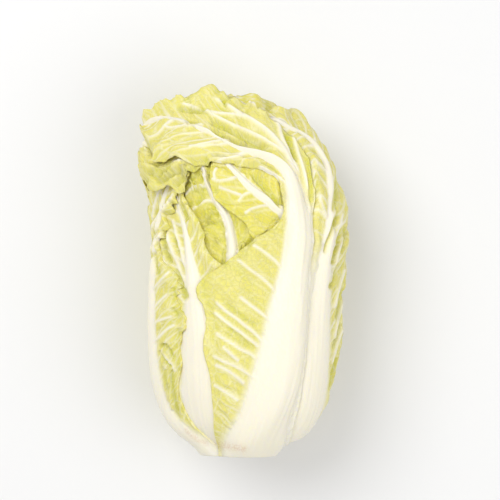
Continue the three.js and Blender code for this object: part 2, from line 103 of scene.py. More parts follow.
# From the heart outwards
LEAVES = [
    dict(node="leaf_inner_back", kind="inner", ruffle=40, wave=1, lift=0, grid=(110, 34, 34),
         midrib=[[165, -118], [170, -50], [176, 30], [180, 90], [180, 120], [20, 130]],
         **CLOSED_STALK, left=UNDER_WING, right=UNDER_WING),
    dict(node="leaf_inner_right", kind="inner", ruffle=40, wave=3, lift=0, grid=(110, 34, 34),
         midrib=[[70, -118], [68, -50], [62, 30], [45, 90], [10, 128]],
         **CLOSED_STALK, left=CLOSED_WING, right=CLOSED_WING),
    dict(node="leaf_inner_left", kind="inner", ruffle=40, wave=4, lift=0, grid=(130, 40, 40),
         midrib=[[-70, -118], [-70, -50], [-66, 30], [-60, 90], [-30, 124]],
         **CLOSED_STALK, left=CLOSED_WING, right=[24, 40, 50, 54, 50, 44, 20]),
    dict(node="leaf_front_inner", kind="opening", ruffle=30, wave=5, lift=1, grid=(240, 48, 48),
         midrib=[[-7, -122], [-6, -100], [-6, -60], [-6, -20], [-8, 15], [-10, 36], [-15, 48], [-18, 58],
                 [-20, 70], [-25, 80]],
         stalk=[20, 18, 12, 7, 3.4, 2, 1], rib=[4, 4, 3.5, 3, 2.5, 2, 0.5],
         crinkle=1.5, crumple=3.2, added_shade=0.35, fine=[0.3, 0.3],
         left=[22, 34, 40, 38, 34, 32, 26, 14], right=[22, 34, 40, 36, 26, 20, 16, 10]),
    dict(node="leaf_front_middle", kind="opening", ruffle=32, wave=2, lift=0, grid=(300, 48, 44),
         midrib=[[21, -126], [26, -100], [28, -60], [31, -20], [33, 15], [29, 37], [21, 46], [10, 56],
                 [3, 66], [-2, 74], [-8, 84]],
         stalk=[20, 18, 14, 11, 7, 4, 2.6, 1.6], rib=[4, 4, 4, 3.5, 3.5, 3, 2.2, 1],
         crinkle=1.4, fine=[0.5, 0.5],
         left=[22, 34, 40, 40, 37, 32, 28, 25, 21, 16], right=[22, 30, 34, 34, 30, 29, 29, 29, 27, 16]),
    dict(node="leaf_back_left", kind="back", ruffle=44, wave=4, lift=0, grid=(150, 44, 44),
         midrib=[[-140, -130], [-140, -60], [-142, 20], [-148, 80], [-160, 122]],
         **BACK_STALK, left=BACK_WING, right=[24, 40, 44, 50, 50, 46, 28]),
    dict(node="leaf_back_right", kind="back", ruffle=44, wave=4, lift=0, grid=(150, 44, 44),
         midrib=[[128, -130], [128, -60], [126, 20], [118, 80], [98, 113]],
         **BACK_STALK, left=BACK_WING, right=BACK_WING),
    dict(node="leaf_front_left", kind="side", ruffle=34, wave=4, lift=1, grid=(210, 40, 32),
         midrib=[[-32, -133.5], [-33, -118], [-32, -98], [-30, -74], [-29, -45], [-32, -15], [-36, 10],
                 [-40, 35], [-46, 60]],
         stalk=[17, 15.5, 14.5, 13.5, 12.5, 7, 3, 1.6, 1], rib=[2, 2.5, 3, 3.5, 4, 3.5, 2, 1.2, 0.5],
         pale_right=[1, 1, 0.5, 0, 0, 0, 0],
         left=[19, 22, 28, 32, 34, 34, 32, 28, 20], right=[27, 25, 25, 28, 30, 26, 16, 10, 8]),
    dict(node="leaf_side_right", kind="side", ruffle=30, wave=7, lift=1, grid=(260, 32, 40),
         midrib=[[58, -132], [53, -116], [50, -98], [48, -74], [49, -45], [50, -10], [53, 22], [61, 47],
                 [67, 63], [68, 78], [62, 90], [50, 100], [30, 112]],
         stalk=[20, 16, 14, 12, 10, 7.5, 5, 3.5, 3, 2.2, 1.5, 1],
         rib=[3, 5, 5.5, 5, 4.5, 4, 3.5, 3.5, 3, 2, 0.5],
         lively=[0.1, 0.1, 0.2, 0.3, 0.3, 0.4, 0.5, 0.6],
         loft=[0, 0, 0, 0, 0, 0, 2, 5, 8, 10, 8, 4, 0],
         pale_left=[1, 1, 1, 1, 1, 0.9, 0.1, 0, 0, 0, 0], pale_right=[1, 0.8, 0.3, 0, 0, 0, 0, 0, 0, 0, 0],
         left=[22, 18, 16, 16, 16, 18, 24, 28, 28, 24, 16],
         right=[22, 20, 22, 28, 33, 35, 35, 32, 30, 28, 16]),
    dict(node="leaf_side_left", kind="side", ruffle=34, wave=4, lift=0, grid=(260, 44, 34), ragged=3,
         midrib=[[-52, -132], [-70, -116], [-80, -98], [-80, -74], [-77, -40], [-74, -10], [-67, 20],
                 [-56, 44], [-44, 64], [-38, 80]],
         stalk=[17, 15, 12, 10, 8, 4.5, 2.4, 1.6, 1], rib=[3, 4, 5, 4.5, 4, 3, 2, 1.5, 0.8],
         lively=[0, 0, 0, 0, 0.1, 0.3, 0.4],
         hug_left=[0.3, 0.3], hug_right=[1, 1, 1, 1, 1, 1, 0.9, 0.7, 0.5],
         left=[19, 30, 36, 40, 40, 38, 34, 30, 26],
         right=[15, 17, 19, 22, 25, 28, 31, 33, 34, 33, 30, 26, 14, 6, 6, 8, 11, 10, 6]),
    dict(node="leaf_crown_left", kind="crown", ruffle=30, wave=3, lift=0, grid=(230, 40, 50),
         midrib=[[-150, -131], [-150, -70], [-146, -10], [-130, 40], [-98, 78], [-62, 93], [-24, 100],
                 [-6, 98]],
         stalk=[19, 18, 13, 7, 3, 1.5, 1], rib=[3, 5, 5, 4, 2, 1, 0.5],
         tip=0.92, ragged=0.8, added_shade=-0.3, crumple=1.3,
         lively=[0, 0, 0, 0.1, 0.4, 0.5, 0.6], hug=[0.3, 0.3], fine=[0.5, 0.5],
         gather=(-29, 73, 20, 2.6, -0.73), loft=[0, 0, 0, 1, 4, 7, 7, 3, 0],
         left=[20, 30, 34, 36, 36, 34, 34, 24],
         right=[20, 19, 17, 15, 14, 13, 12, 11, 9, 8, 8, 24, 43, 36, 36]),
    dict(node="leaf_back_outer", kind="wrapper", ruffle=40, wave=4, lift=0, grid=(190, 50, 50),
         midrib=[[180, -132], [180, -60], [180, 0], [180, 60], [178, 104], [176, 128]],
         stalk=[20, 21, 18, 13, 6, 2], rib=[2.5, 5, 6, 5, 3, 0.5],
         left=BACK_OUTER_WING, right=BACK_OUTER_WING),
    dict(node="leaf_front_outer", kind="wrapper", ruffle=34, wave=5, lift=2, grid=(340, 64, 52),
         midrib=[[23, -133], [11, -118], [13, -98], [18, -74], [23, -45], [27, -15], [30, 8], [33, 32],
                 [36, 52], [36, 65], [28, 75.5], [14, 82], [-1, 88], [-16, 95.5], [-36, 102.5], [-62, 104],
                 [-88, 92]],
         stalk=[20, 19, 15, 14, 12.5, 11, 8, 7, 5.5, 3, 1.5, 1, 0.8, 0.7, 0.6],
         rib=[3, 6, 7, 6.5, 6, 5.5, 5, 5, 4.5, 4, 3.5, 3, 2.5, 1.5, 0.5],
         tip=0.9, lively_left=[0.1, 0.1, 0.2, 0.3, 0.3, 0.3, 0.3, 0.4, 0.5, 0.6],
         lively_right=[0, 0, 0, 0, 0, 0.1, 0.3, 0.6, 1, 1],
         pale_right=[1, 1, 1, 1, 1, 1, 1, 0.9, 0.7, 0.3, 0, 0, 0, 0, 0, 0],
         slant_left=[0.7, 0.7, 0.7, 0.8, 1.2, 1.2],
         slant_right=[1.2, 1.2, 1.2, 1.2, 1.2, 1.5, 2, 3, 4, 4, 3.4, 2.6, 2, 1.5, 1.2],
         hug_left=[0.9, 0.9, 0.9, 0.9, 0.8, 0.7, 0.7, 0.7, 0.7, 0.7, 0.8, 0.8, 0.8, 0.9, 0.9],
         hug_right=[0.9, 1, 1, 1, 1, 1, 1, 1, 0.9, 0.5, 0.1, 0, 0, 0],
         crest=[0, 0, 0, 0, 0, 0, 0, 0, 0, 0, 1, 1, 0, 0, 0, 0], loft=[0, 0, 0, 0, 0, 0, 0, 1, 4],
         fine_left=[1, 1, 0.6, 0.4, 0.4, 0.8, 1, 1, 1], fine_right=[1, 1, 1, 1, 0.5, 0.5, 0.6, 0.8],
         left=[21, 26, 31, 38, 46, 54, 50, 29, 10, 7, 7, 12, 22, 31, 31, 26],
         right=[21, 22, 23, 22, 20, 18.5, 17, 14.5, 12, 10.5, 9, 9, 9, 9, 9, 9, 9, 11, 13, 17.5, 22, 27, 32,
                34, 34, 32, 28, 11, 5, 4, 4]),
]

# ---- Lines on the leaves, in millimetres ----

# Each has the points that it runs through, as seen from above, and three numbers. For a vein they are half
# its width at its start and its end, and its height. For a crease they are half its width on its right and
# its left, going along it, and its depth. For a stain they are as for a vein, with a strength for a height.
VEINS = {
    "leaf_front_outer": [
        ([(40.2, 57.6), (37.4, 64.6), (33.2, 73.2), (29.7, 81.1), (24.7, 87.4), (19.1, 93.1),
          (13.4, 98), (8.5, 101.6), (2.8, 105.2), (-2.2, 108.1), (-7.8, 111.7), (-12.8, 115.4),
          (-17.8, 117.6), (-23.5, 121.3)], 2.6, 1, 1.8),
        ([(41, 59.8), (38.2, 66.9), (34.7, 75.4), (31.8, 82.5), (28.3, 88.2), (26.2, 94.6),
          (24.8, 100.4), (20.6, 107.1), (15.7, 111.8), (8.5, 114.7), (2.8, 118.3),
          (-5, 119.8)], 2.2, 1, 1.4),
        ([(31.8, 76.8), (26.2, 82.5), (15.5, 89.5), (8.5, 93), (1.4, 96.6), (-5.7, 99.4),
          (-12.8, 103.1), (-19.9, 106.7), (-25.6, 108.9)], 1.3, 1, 1),
        ([(4.9, 103.7), (-2.2, 106.7), (-9.3, 107.7), (-16.4, 108.5), (-23.5, 109.6), (-30.6, 111.9),
          (-37.8, 114.3), (-45, 116.5)], 1.2, 1, 0.9),
        ([(45.9, 50.6), (44.5, 59.1), (42.5, 68.3), (40.4, 75.5), (38.3, 82.7), (36.2, 89.8),
          (34.9, 97.2), (32.8, 103.7)], 1.6, 1, 1.3),
        ([(16.2, 80.1), (9.2, 81.1), (4.9, 80.7), (-2.1, 77.8), (-9.1, 76.4), (-15.5, 75),
          (-19.7, 71.5)], 1.2, 1, 0.8),
        ([(-2.1, 88.6), (-10.6, 89.2), (-19.7, 87.7), (-26.7, 86.3), (-33.8, 84.9),
          (-38.7, 84.2)], 1.3, 1, 1),
        ([(-26.9, 100.1), (-31.9, 100.2), (-37.6, 99.9), (-44.8, 99.4), (-50.6, 98.5),
          (-57.2, 99.5)], 1.2, 1, 0.9),
        ([(33.1, 53.9), (29.6, 58.9), (23.3, 63.9), (17.6, 67.4), (10.6, 70.9)], 1.1, 1, 0.8),
        ([(20.3, -44.3), (18.9, -38.8), (15.4, -34.6), (9.1, -29.6), (3.5, -25.4),
          (-3.5, -19.8)], 1.3, 1.2, 0.8),
        ([(14, -57), (13.3, -52.1), (8.4, -46.4), (1.4, -40.8), (-5.6, -35.2), (-12.6, -30.3),
          (-20.3, -23.4)], 1.3, 1.2, 0.8),
        ([(14, -58.4), (6.3, -52), (-0.7, -46.4), (-7.7, -41.5), (-14.7, -35.9),
          (-21, -31.1)], 1.3, 1.2, 0.7),
        ([(10.5, -65.4), (6.3, -61.2), (-0.7, -57.6), (-7.7, -53.4), (-14.7, -49.2),
          (-19.6, -45.8)], 1.3, 1.2, 0.7),
        ([(9.8, -78.7), (4.9, -75.2), (-0.7, -71.6), (-7.7, -68.1), (-14.7, -65.4),
          (-22.4, -61.3)], 1.3, 1.2, 0.7),
        ([(-2.1, -66), (-7, -62.4), (-10.5, -59), (-14.7, -55.5)], 1.3, 1.2, 0.6),
        ([(-2.1, -94.3), (-9.1, -89.4), (-14.7, -85.9), (-21.1, -82.5)], 1.3, 1.2, 0.6),
        ([(2.1, -82.3), (-4.9, -76.5), (-11.9, -71.7), (-20.3, -68.3)], 1.3, 1.2, 0.6),
        ([(24.5, -23.3), (20.3, -14.9), (13.3, -7.9), (3.5, -0.9), (-4.9, 6.1)], 1.2, 1, 1.1),
        ([(28.1, -3.7), (23.2, 3.3), (14.7, 10.3), (6.3, 15.9)], 1.2, 1, 1),
    ],
    "leaf_side_right": [
        ([(60.1, 31.5), (55.8, 43.5), (53, 52.7), (50.3, 64.1), (47.5, 75.6)], 1.1, 1, 0.8),
        ([(62.5, 57.2), (58.3, 67.2), (53.2, 72.7), (49.7, 77)], 1.1, 1, 0.8),
        ([(60.8, 8.2), (64.4, 18.8), (68.2, 28.7), (71.3, 38.8)], 1.3, 1, 1.4),
        ([(61.9, -13.2), (64.6, -1.1), (68.3, 11.7), (72.4, 21.7)], 1.2, 1, 1.4),
        ([(64, -31), (67, -19.7), (70, -9.8), (73.2, -1.2)], 1.2, 1, 1.3),
        ([(64.1, -52.5), (67.1, -39.8), (71.1, -27.9), (74.4, -20.1)], 1.1, 1, 1.2),
        ([(62.8, -70.5), (65.6, -59.7), (68.6, -51.3), (71.7, -44.3)], 1.1, 1, 1.1),
    ],
    "leaf_side_left": [
        ([(-71.8, -1.3), (-69.6, 7.3), (-65.2, 13.8), (-60.6, 19.5), (-57, 24.5)], 1.8, 1.2, 1.6),
        ([(-68.9, 18.9), (-65.3, 26.7), (-61.3, 33.8), (-56.8, 40.1), (-52.4, 45.7),
          (-48.8, 52.7)], 1.6, 1, 1.4),
        ([(-65.3, 31.7), (-63.9, 38.9), (-62.3, 46), (-60, 53), (-56.6, 58.4)], 1.2, 1, 1),
        ([(-71, -26.7), (-67.4, -20.5), (-62.1, -14), (-56.8, -8.2), (-51.1, -2.5)], 1.1, 1, 0.8),
        ([(-68.9, -39.9), (-64.4, -31.2), (-59.2, -24.6), (-52.6, -18.8)], 1.1, 1, 0.8),
        ([(-67.4, -43.5), (-62.9, -39.7), (-56.9, -37.3), (-49.6, -35)], 1.1, 1, 0.8),
        ([(-66.8, -58.6), (-60.7, -51.1), (-53.9, -44.3), (-47.4, -40.6)], 1.1, 1, 0.7),
        ([(-59.3, -61.1), (-54.8, -64.3), (-50.4, -69.2), (-47.5, -74.8)], 1.1, 1, 0.9),
    ],
    "leaf_front_left": [
        ([(-53.3, 25.9), (-52.5, 18.8), (-49.7, 11), (-46.1, 3.2), (-42.4, -6.7),
          (-38.8, -16.5)], 1.3, 1.6, 1.6),
        ([(-49.7, 34.4), (-47.5, 25.9), (-44.6, 15.2), (-41.7, 4.6), (-38, -5.2)], 1.1, 1.4, 1.3),
        ([(-57, 8.8), (-55.5, 2.4), (-52.5, -3.9), (-47.5, -13.8), (-43.2, -22.3)], 1.1, 1.4, 1.2),
    ],
    "leaf_front_middle": [
        ([(2.1, 63.7), (-3.5, 62.6), (-10.5, 60.8), (-17.5, 60.1), (-22.5, 62.2)], 1.2, 1, 0.8),
        ([(13.4, 52.5), (6.3, 52.4), (0, 49.6), (-3.5, 44.7)], 1.1, 1, 0.7),
        ([(0, 49.6), (-6.3, 51.7), (-11.9, 53.8), (-17.5, 55.9)], 1.1, 1, 0.6),
        ([(23.2, 42.6), (14.8, 42.6), (6.3, 40.5), (0.7, 36.9)], 1.1, 1, 0.7),
        ([(-18.9, 60.1), (-20.3, 65), (-18.3, 70)], 1.1, 1, 0.6),
    ],
    "leaf_front_inner": [
        ([(-23.9, 55.3), (-28.2, 56.8), (-33.1, 56.1), (-37.5, 54.1), (-41.7, 49.8)], 1.1, 1, 1),
        ([(-18.3, 44.7), (-24.7, 46.2), (-30.3, 44.1), (-36, 39.9)], 1.1, 1, 0.9),
    ],
    "leaf_crown_left": [
        ([(-30.3, 72.9), (-37.3, 75.1), (-44.4, 75.5), (-51.8, 74.1), (-58.9, 69.8)], 1.1, 1, 0.6),
    ],
}
# A crease is sunk into its leaf and also painted with shade, the more the deeper it is.
CREASES = {
    "leaf_front_outer": [
        ([(21.9, 82.7), (14.8, 84.9), (8.5, 87.4), (1.4, 90.6), (-5.7, 94.1), (-12.8, 97.7),
          (-19.9, 101), (-26.3, 103.8)], 2.8, 1.2, 3.4),
        ([(23.3, 81.3), (17, 83.3), (10.6, 85.1), (4.2, 86.2), (-2.1, 87.6), (-7.8, 89.8),
          (-13.8, 92.8), (-19.8, 96.1), (-24.8, 99)], 1.7, 1.3, 4.4),
        ([(29.1, 102.9), (31.9, 93.4), (34.8, 84.1), (38.2, 73.3)], 2, 2, 3.2),
        ([(-24.9, 111.8), (-33.5, 111.3), (-42.1, 112.6), (-47.9, 113.7)], 1.4, 2, 2),
        ([(48.7, 41.3), (48.1, 52.7), (47.4, 64.8), (46.1, 75.6), (44.1, 84.3)], 1.6, 1.6, 1.6),
        ([(-10.5, 78.1), (-16.2, 78.5), (-22.5, 78.1)], 0.8, 0.8, 1.6),
        ([(-30.5, 102.4), (-37.7, 102.6), (-45.6, 102)], 0.8, 1.4, 1.3),
        ([(-15, 119.1), (-13.5, 116.1), (-11.4, 113.2)], 1.2, 1.2, 2),
        ([(11.3, 73.7), (16.2, 72), (21.9, 68.8), (26.1, 64.6)], 0.7, 1, 1),
        ([(10.5, -42.2), (2.8, -37.3), (-5.6, -31), (-14.7, -24)], 1.6, 1.6, 1),
        ([(9.1, -57.7), (2.8, -53.1), (-4.2, -47.8), (-12.6, -41.5)], 1.2, 1.2, 0.9),
        ([(6.3, -57.7), (0, -54.1), (-7, -49.9), (-14, -45)], 1, 1, 0.8),
    ],
    "leaf_side_right": [
        ([(58, 8.2), (60.1, 16.6), (63.8, 25.9), (67.6, 40.2)], 1.2, 1.2, 3.2),
        ([(61.7, -16.7), (63.9, -8.2), (67.5, 3.1)], 1.1, 1.1, 2.8),
        ([(63.2, 0.3), (66.1, 11.7), (69.7, 27.4)], 1.1, 1.1, 3),
        ([(64.5, 37.2), (65.6, 47.4), (67.6, 60.7), (68.5, 70.9)], 1.6, 1.6, 2.2),
        ([(69.9, 8.1), (72.3, 18.9), (72.9, 29.6)], 1, 1, 2),
        ([(66.4, -39.8), (68.9, -27.1), (71.6, -14.1)], 1.1, 1.1, 2.6),
        ([(64.2, -59.7), (67.2, -49.9), (70.2, -40)], 1.1, 1.1, 2.2),
        ([(62.2, -90), (64.4, -77.1), (67.3, -64.3)], 1.4, 1.4, 2.2),
        ([(53, 48.5), (52.4, 58.4), (51, 67)], 1, 1, 1.4),
    ],
    "leaf_side_left": [
        ([(-59.2, -58.9), (-56.2, -55.9), (-52.6, -60), (-49, -65.6)], 1, 1, 3),
        ([(-60, -59.7), (-55.6, -66.6), (-50.4, -72)], 0.9, 0.9, 2.6),
        ([(-50.4, -72), (-51.3, -80.8), (-49.9, -90.1), (-47.8, -101), (-45, -112.4)], 1.6, 1.6, 2),
        ([(-57.1, -71), (-55.7, -81), (-53.5, -90.9)], 1.3, 1.3, 1.2),
        ([(-63.7, 31.7), (-62.4, 37.5), (-60.8, 42.4)], 1, 1, 2),
        ([(-66.6, 5.2), (-63.7, 8.8), (-63, 3.1), (-60.8, -3.3), (-59.8, -8.2)], 1.2, 1.2, 2.6),
        ([(-51.1, -29.4), (-48.2, -32.2), (-45.3, -36.4)], 1, 1, 2.2),
        ([(-49.6, -14.5), (-47.5, -19.5), (-45.3, -25.8)], 1.1, 1.1, 2.2),
        ([(-67.1, 15.3), (-63.9, 23.2), (-60.6, 27.4)], 1, 1, 1.6),
    ],
    "leaf_front_left": [
        ([(-55.5, 31.6), (-56.3, 22.4), (-56.2, 15.2), (-54.1, 7.4), (-50.4, 0.3)], 1.3, 1.3, 3.2),
        ([(-49, 20.2), (-46.8, 14.5), (-45.3, 8.9)], 1, 1, 2),
        ([(-47.5, -1.1), (-44.7, -9.6), (-41.8, -18), (-39.5, -24.3)], 2, 2, 2.6),
        ([(-44.6, 44.9), (-41.7, 38.6), (-38.8, 32.1)], 1.6, 1.6, 3),
    ],
    "leaf_front_middle": [
        ([(4.2, 66.6), (9.2, 61), (15.5, 54), (21.8, 47.6), (28.2, 39.8)], 1, 2.6, 2.4),
    ],
    "leaf_front_inner": [
        ([(-41.6, 54), (-38.9, 58.4), (-34.6, 64), (-29.6, 66)], 1.2, 1.2, 2.6),
        ([(-33.2, 42), (-30.3, 47), (-27.5, 51.2)], 1.4, 1.4, 2.6),
        ([(-22.5, 41.3), (-19, 41.9)], 1, 1, 2.4),
        ([(-26.1, 66.6), (-23.2, 60.1), (-20.4, 55.2)], 1.2, 1.2, 2.2),
        ([(-35.3, 47), (-38.1, 42.7), (-37.3, 37)], 1, 1, 2),
    ],
    "leaf_crown_left": [
        ([(-26.7, 72.9), (-33.2, 70.2), (-40.2, 69.5), (-46.6, 68.8), (-52.2, 66.7), (-58.8, 62),
          (-62.4, 58.5)], 2.3, 2.6, 3.8),
        ([(-49.4, 80.9), (-51.8, 75.5), (-56, 70.5), (-61.7, 65.6), (-66.1, 62.8)], 2.2, 2.2, 3.2),
        ([(-56.7, 81.8), (-59.6, 74.8), (-64.7, 68.5), (-68.4, 65.1)], 1.9, 1.9, 2.6),
        ([(-36.8, 66.8), (-41.6, 63.9), (-45.9, 60.4), (-50, 57.5)], 2, 2, 3),
    ],
}
STAINS = {
    "leaf_front_outer": [
        ([(-22.9, -126.5), (-14.9, -127), (-7.8, -127.6), (0.7, -128.8)], 3.4, 2.6, 0.5),
    ],
    "leaf_front_left": [
        ([(-42.9, -115.2), (-37.1, -120.2), (-30.7, -124.4), (-25, -126.6), (-17.8, -127.7),
          (-9.2, -128.4)], 1.8, 3.4, 0.5),
    ],
    "leaf_side_left": [
        ([(-42.1, -115.2), (-37.8, -119.5), (-32.1, -123.7), (-26.4, -125.8)], 1.8, 2.4, 0.4),
    ],
}


# ---- Small sums ----

NOISE_SIDE = 64


def smooth(value, low, high):
    t = np.clip((value - low) / (high - low), 0.0, 1.0)
    return t * t * (3.0 - 2.0 * t)


def unit(vectors):
    return vectors / np.linalg.norm(vectors, axis=-1, keepdims=True)


def dot(a, b):
    return (a * b).sum(-1)


def along(values, u):
    """A smooth value at each u from a few evenly spaced ones."""
    values = np.asarray(values, float)
    last = len(values) - 1
    place = np.clip(u, 0, 1) * last
    i = np.minimum(np.floor(place).astype(int), last - 1)
    t = place - i
    a, b, c, d = (values[np.clip(i + k, 0, last)] for k in (-1, 0, 1, 2))
    if values.ndim > 1:
        t = t[..., None]
    return b + 0.5 * t * (c - a + t * (2 * a - 5 * b + 4 * c - d + t * (3 * (b - c) + d - a)))


def noise(x, y, seed):
    """Smooth noise from -1 to 1, with features about one unit across."""
    table = np.random.default_rng(seed).uniform(-1, 1, (NOISE_SIDE, NOISE_SIDE))
    x0, y0 = np.floor(x).astype(int), np.floor(y).astype(int)
    s, t = x - x0, y - y0
    s, t = s * s * (3 - 2 * s), t * t * (3 - 2 * t)
    x0, x1, y0, y1 = (k % NOISE_SIDE for k in (x0, x0 + 1, y0, y0 + 1))
    a, b, c, d = table[x0, y0], table[x1, y0], table[x0, y1], table[x1, y1]
    return (a * (1 - s) + b * s) * (1 - t) + (c * (1 - s) + d * s) * t


def mean_round(values):
    """The mean of the four neighbours of each value in a grid."""
    p = np.pad(values, 1, mode="edge")
    return 0.25 * (p[:-2, 1:-1] + p[2:, 1:-1] + p[1:-1, :-2] + p[1:-1, 2:])


def blurred(values, rounds):
    """A grid of values with each one drawn towards its neighbours."""
    for _ in range(rounds):
        values = 0.5 * (values + mean_round(values))
    return values


# ---- The barrel ----


def bend(y):
    """How far the head's middle line is to the side."""
    stem = STEM_SHIFT * smooth(-y, STEM_START, HEAD_HALF_LENGTH)
    return stem + CROWN_SHIFT * smooth(y, *CROWN_BEND)


def power_at(y):
    """How square the barrel is at a place along it."""
    return np.where(y < 0, BASE_POWER, CROWN_POWER)


def heart_radius(n):
    """How far the heart's surface is in a direction, in half sizes."""
    power = power_at(n[..., 1])
    across = np.hypot(n[..., 0], n[..., 2])
    return (across**power + np.abs(n[..., 1]) ** power) ** (-1 / power)


def barrel_normal(n):
    """The way straight out of the heart's surface."""
    power = power_at(n[..., 1])
    ring = np.hypot(n[..., 0], n[..., 2]) ** (power - 2)
    lengthwise = np.sign(n[..., 1]) * np.abs(n[..., 1]) ** (power - 1)
    return unit(np.stack([n[..., 0] * ring, lengthwise, n[..., 2] * ring], -1) / HEART_HALF_SIZES)


def point_at(n, height):
    """The point in a direction at a height over the heart's surface, in millimetres from the middle."""
    ray = n * HEART_HALF_SIZES
    ray = ray * (heart_radius(n) + height / dot(ray, barrel_normal(n)))[..., None]
    ray[..., 0] += bend(ray[..., 1])
    return ray


def place_of(point):
    """The direction of a point and its height over the heart's surface."""
    n = np.array(point, float)
    n[..., 0] -= bend(n[..., 1])
    n /= HEART_HALF_SIZES
    share = np.linalg.norm(n, axis=-1)
    n /= share[..., None]
    height = (share - heart_radius(n)) * dot(n * HEART_HALF_SIZES, barrel_normal(n))
    return n, height


def direction_at(azimuth, y):
    """The direction at an azimuth round the head, in degrees, and a distance along it."""
    part = np.clip(y / HEAD_HALF_LENGTH, -1, 1)
    power = power_at(y)
    across = (1 - np.abs(part) ** power) ** (1 / power)
    a = np.radians(azimuth)
    return unit(np.stack([across * np.sin(a), part, across * np.cos(a)], -1))


# ---- The pile of leaves, kept on a square map of all directions ----

MAP_SIDE = 448
MAP_BORDER = 12
MAP_PARTS = 2  # points to each side of a patch of a leaf, when it is marked on the map
FREE_REACH = 4
STUMP_MARKS = (400, 120)  # round the stump and across it


def map_place(n):
    """Where directions are on the map. Up is at its middle and down is all round its border."""
    p = n / np.abs(n).sum(-1, keepdims=True)
    x, y = p[..., 0], p[..., 1]
    below = p[..., 2] < 0
    u = np.where(below, (1 - np.abs(y)) * np.where(x < 0, -1, 1), x)
    v = np.where(below, (1 - np.abs(x)) * np.where(y < 0, -1, 1), y)
    return (u + 1) * MAP_SIDE / 2 - 0.5, (v + 1) * MAP_SIDE / 2 - 0.5


def map_cell(n):
    u, v = map_place(n)
    return (np.clip(np.rint(k), 0, MAP_SIDE - 1).astype(int) for k in (u, v))


def with_border(cells):
    """The map with what lies beyond each side of it, which is what is inside it, turned half round."""
    k = MAP_BORDER
    out = np.empty((MAP_SIDE + 2 * k, MAP_SIDE + 2 * k))
    out[k:-k, k:-k] = cells
    out[k:-k, :k] = cells[::-1, :k][:, ::-1]
    out[k:-k, -k:] = cells[::-1, -k:][:, ::-1]
    out[:k, k:-k] = cells[:k, ::-1][::-1]
    out[-k:, k:-k] = cells[-k:, ::-1][::-1]
    out[:k, :k], out[-k:, -k:] = cells[-k:, -k:], cells[:k, :k]
    out[:k, -k:], out[-k:, :k] = cells[-k:, :k], cells[:k, -k:]
    return out


def spread(cells, reach, join):
    """The map with each cell joined to those within a reach, by np.maximum or np.add."""
    for axis in (0, 1):
        moved = [np.roll(cells, k, axis) for k in range(-reach, reach + 1)]
        cells = moved[0]
        for other in moved[1:]:
            cells = join(cells, other)
    return cells


def read_map(bordered, n):
    u, v = (k + MAP_BORDER for k in map_place(n))
    i, j = np.floor(u).astype(int), np.floor(v).astype(int)
    s, t = u - i, v - j
    return ((bordered[i, j] * (1 - s) + bordered[i + 1, j] * s) * (1 - t)
            + (bordered[i, j + 1] * (1 - s) + bordered[i + 1, j + 1] * s) * t)


def points_between(grid, parts):
    """Points spread over every patch of a grid of points."""
    for a in range(parts):
        for b in range(parts):
            s, t = (a + 0.5) / parts, (b + 0.5) / parts
            yield ((grid[:-1, :-1] * (1 - s) + grid[1:, :-1] * s) * (1 - t)
                   + (grid[:-1, 1:] * (1 - s) + grid[1:, 1:] * s) * t)


class Pile:
    """How high the leaves lie in each direction, and which leaf will be the outermost."""

    def __init__(self):
        self.height = np.zeros((MAP_SIDE, MAP_SIDE))
        self.outermost = np.full((MAP_SIDE, MAP_SIDE), -1)
        self.laid = 0
        self.add_stump()
        self.leaves = [lay_leaf(leaf, index) for index, leaf in enumerate(LEAVES)]
        for index, leaf in enumerate(self.leaves):
            for n in points_between(leaf["n"], MAP_PARTS):
                i, j = map_cell(unit(n))
                np.maximum.at(self.outermost, (i, j), index)

    def add_stump(self):
        """Marks the face of the stem's stump and a little round it."""
        marks_round, marks_across = STUMP_MARKS
        turn, share = np.meshgrid(np.linspace(0, TURN, marks_round), np.linspace(0.02, 1.1, marks_across))
        face = np.stack([share * STEM_RADIUS * np.cos(turn), np.full(turn.shape, -HEAD_HALF_LENGTH),
                         share * STEM_RADIUS * np.sin(turn)], -1)
        n = unit(face / HEART_HALF_SIZES)
        face[..., 0] += STEM_SHIFT
        self.raise_to(n, place_of(face)[1])

    def raise_to(self, n, height):
        i, j = map_cell(n)
        np.maximum.at(self.height, (i, j), height)

    def floor(self, n, reach):
        """How high the pile is in each direction, taken from the highest cell within a reach of it."""
        return read_map(spread(with_border(self.height), reach, np.maximum), n)

    def free(self, n, index):
        """How much of what is round a direction will stay uncovered by later leaves."""
        bare = spread(with_border(self.outermost <= index), FREE_REACH, np.add) / (2 * FREE_REACH + 1) ** 2
        return read_map(bare, n)

    def add(self, surface):
        """Marks the outer face of a leaf, once it is laid."""
        for points in points_between(surface, MAP_PARTS):
            self.raise_to(*place_of(points))


# ---- The flat lay of a leaf ----

MIDRIB_STEPS = 641
TIP_START = 0.87  # where a tip starts to round off
NARROWEST_TIP = 0.12  # of a wing's width
SCALLOP = 0.07  # of a wing's width
NOTCH_DEPTH = 0.04
NICK_DEPTH = 0.012
# Unevenness of a margin: how long its features are, and the lane and the seed of their noise
NOTCHES = (7.0, 3.0, 40)
NICKS = (3.0, 5.0, 60)
TEARS = (6.0, 7.0, 50)
SHREDS = (3.0, 8.0, 55)
STALK_MARGIN = 2.0  # of blade beside a stalk
ROOT_RING = 0.5  # how far the rows by the root run round the head and not across the leaf
ROOT_ROWS = (0.06, 0.3)  # shares of the length between which that stops


def midrib_directions(midrib, count):
    """Evenly spaced directions on a middle line, and its length."""
    ends = direction_at(*np.array(midrib, float).T)
    u = np.linspace(0, 1, MIDRIB_STEPS)
    fine = point_at(unit(along(ends, u)), 0 * u)
    lengths = np.concatenate([[0], np.cumsum(np.linalg.norm(np.diff(fine, axis=0), axis=-1))])
    want = np.linspace(0, lengths[-1], count)
    points = np.stack([np.interp(want, lengths, fine[:, k]) for k in range(3)], -1)
    return place_of(points)[0], lengths[-1]


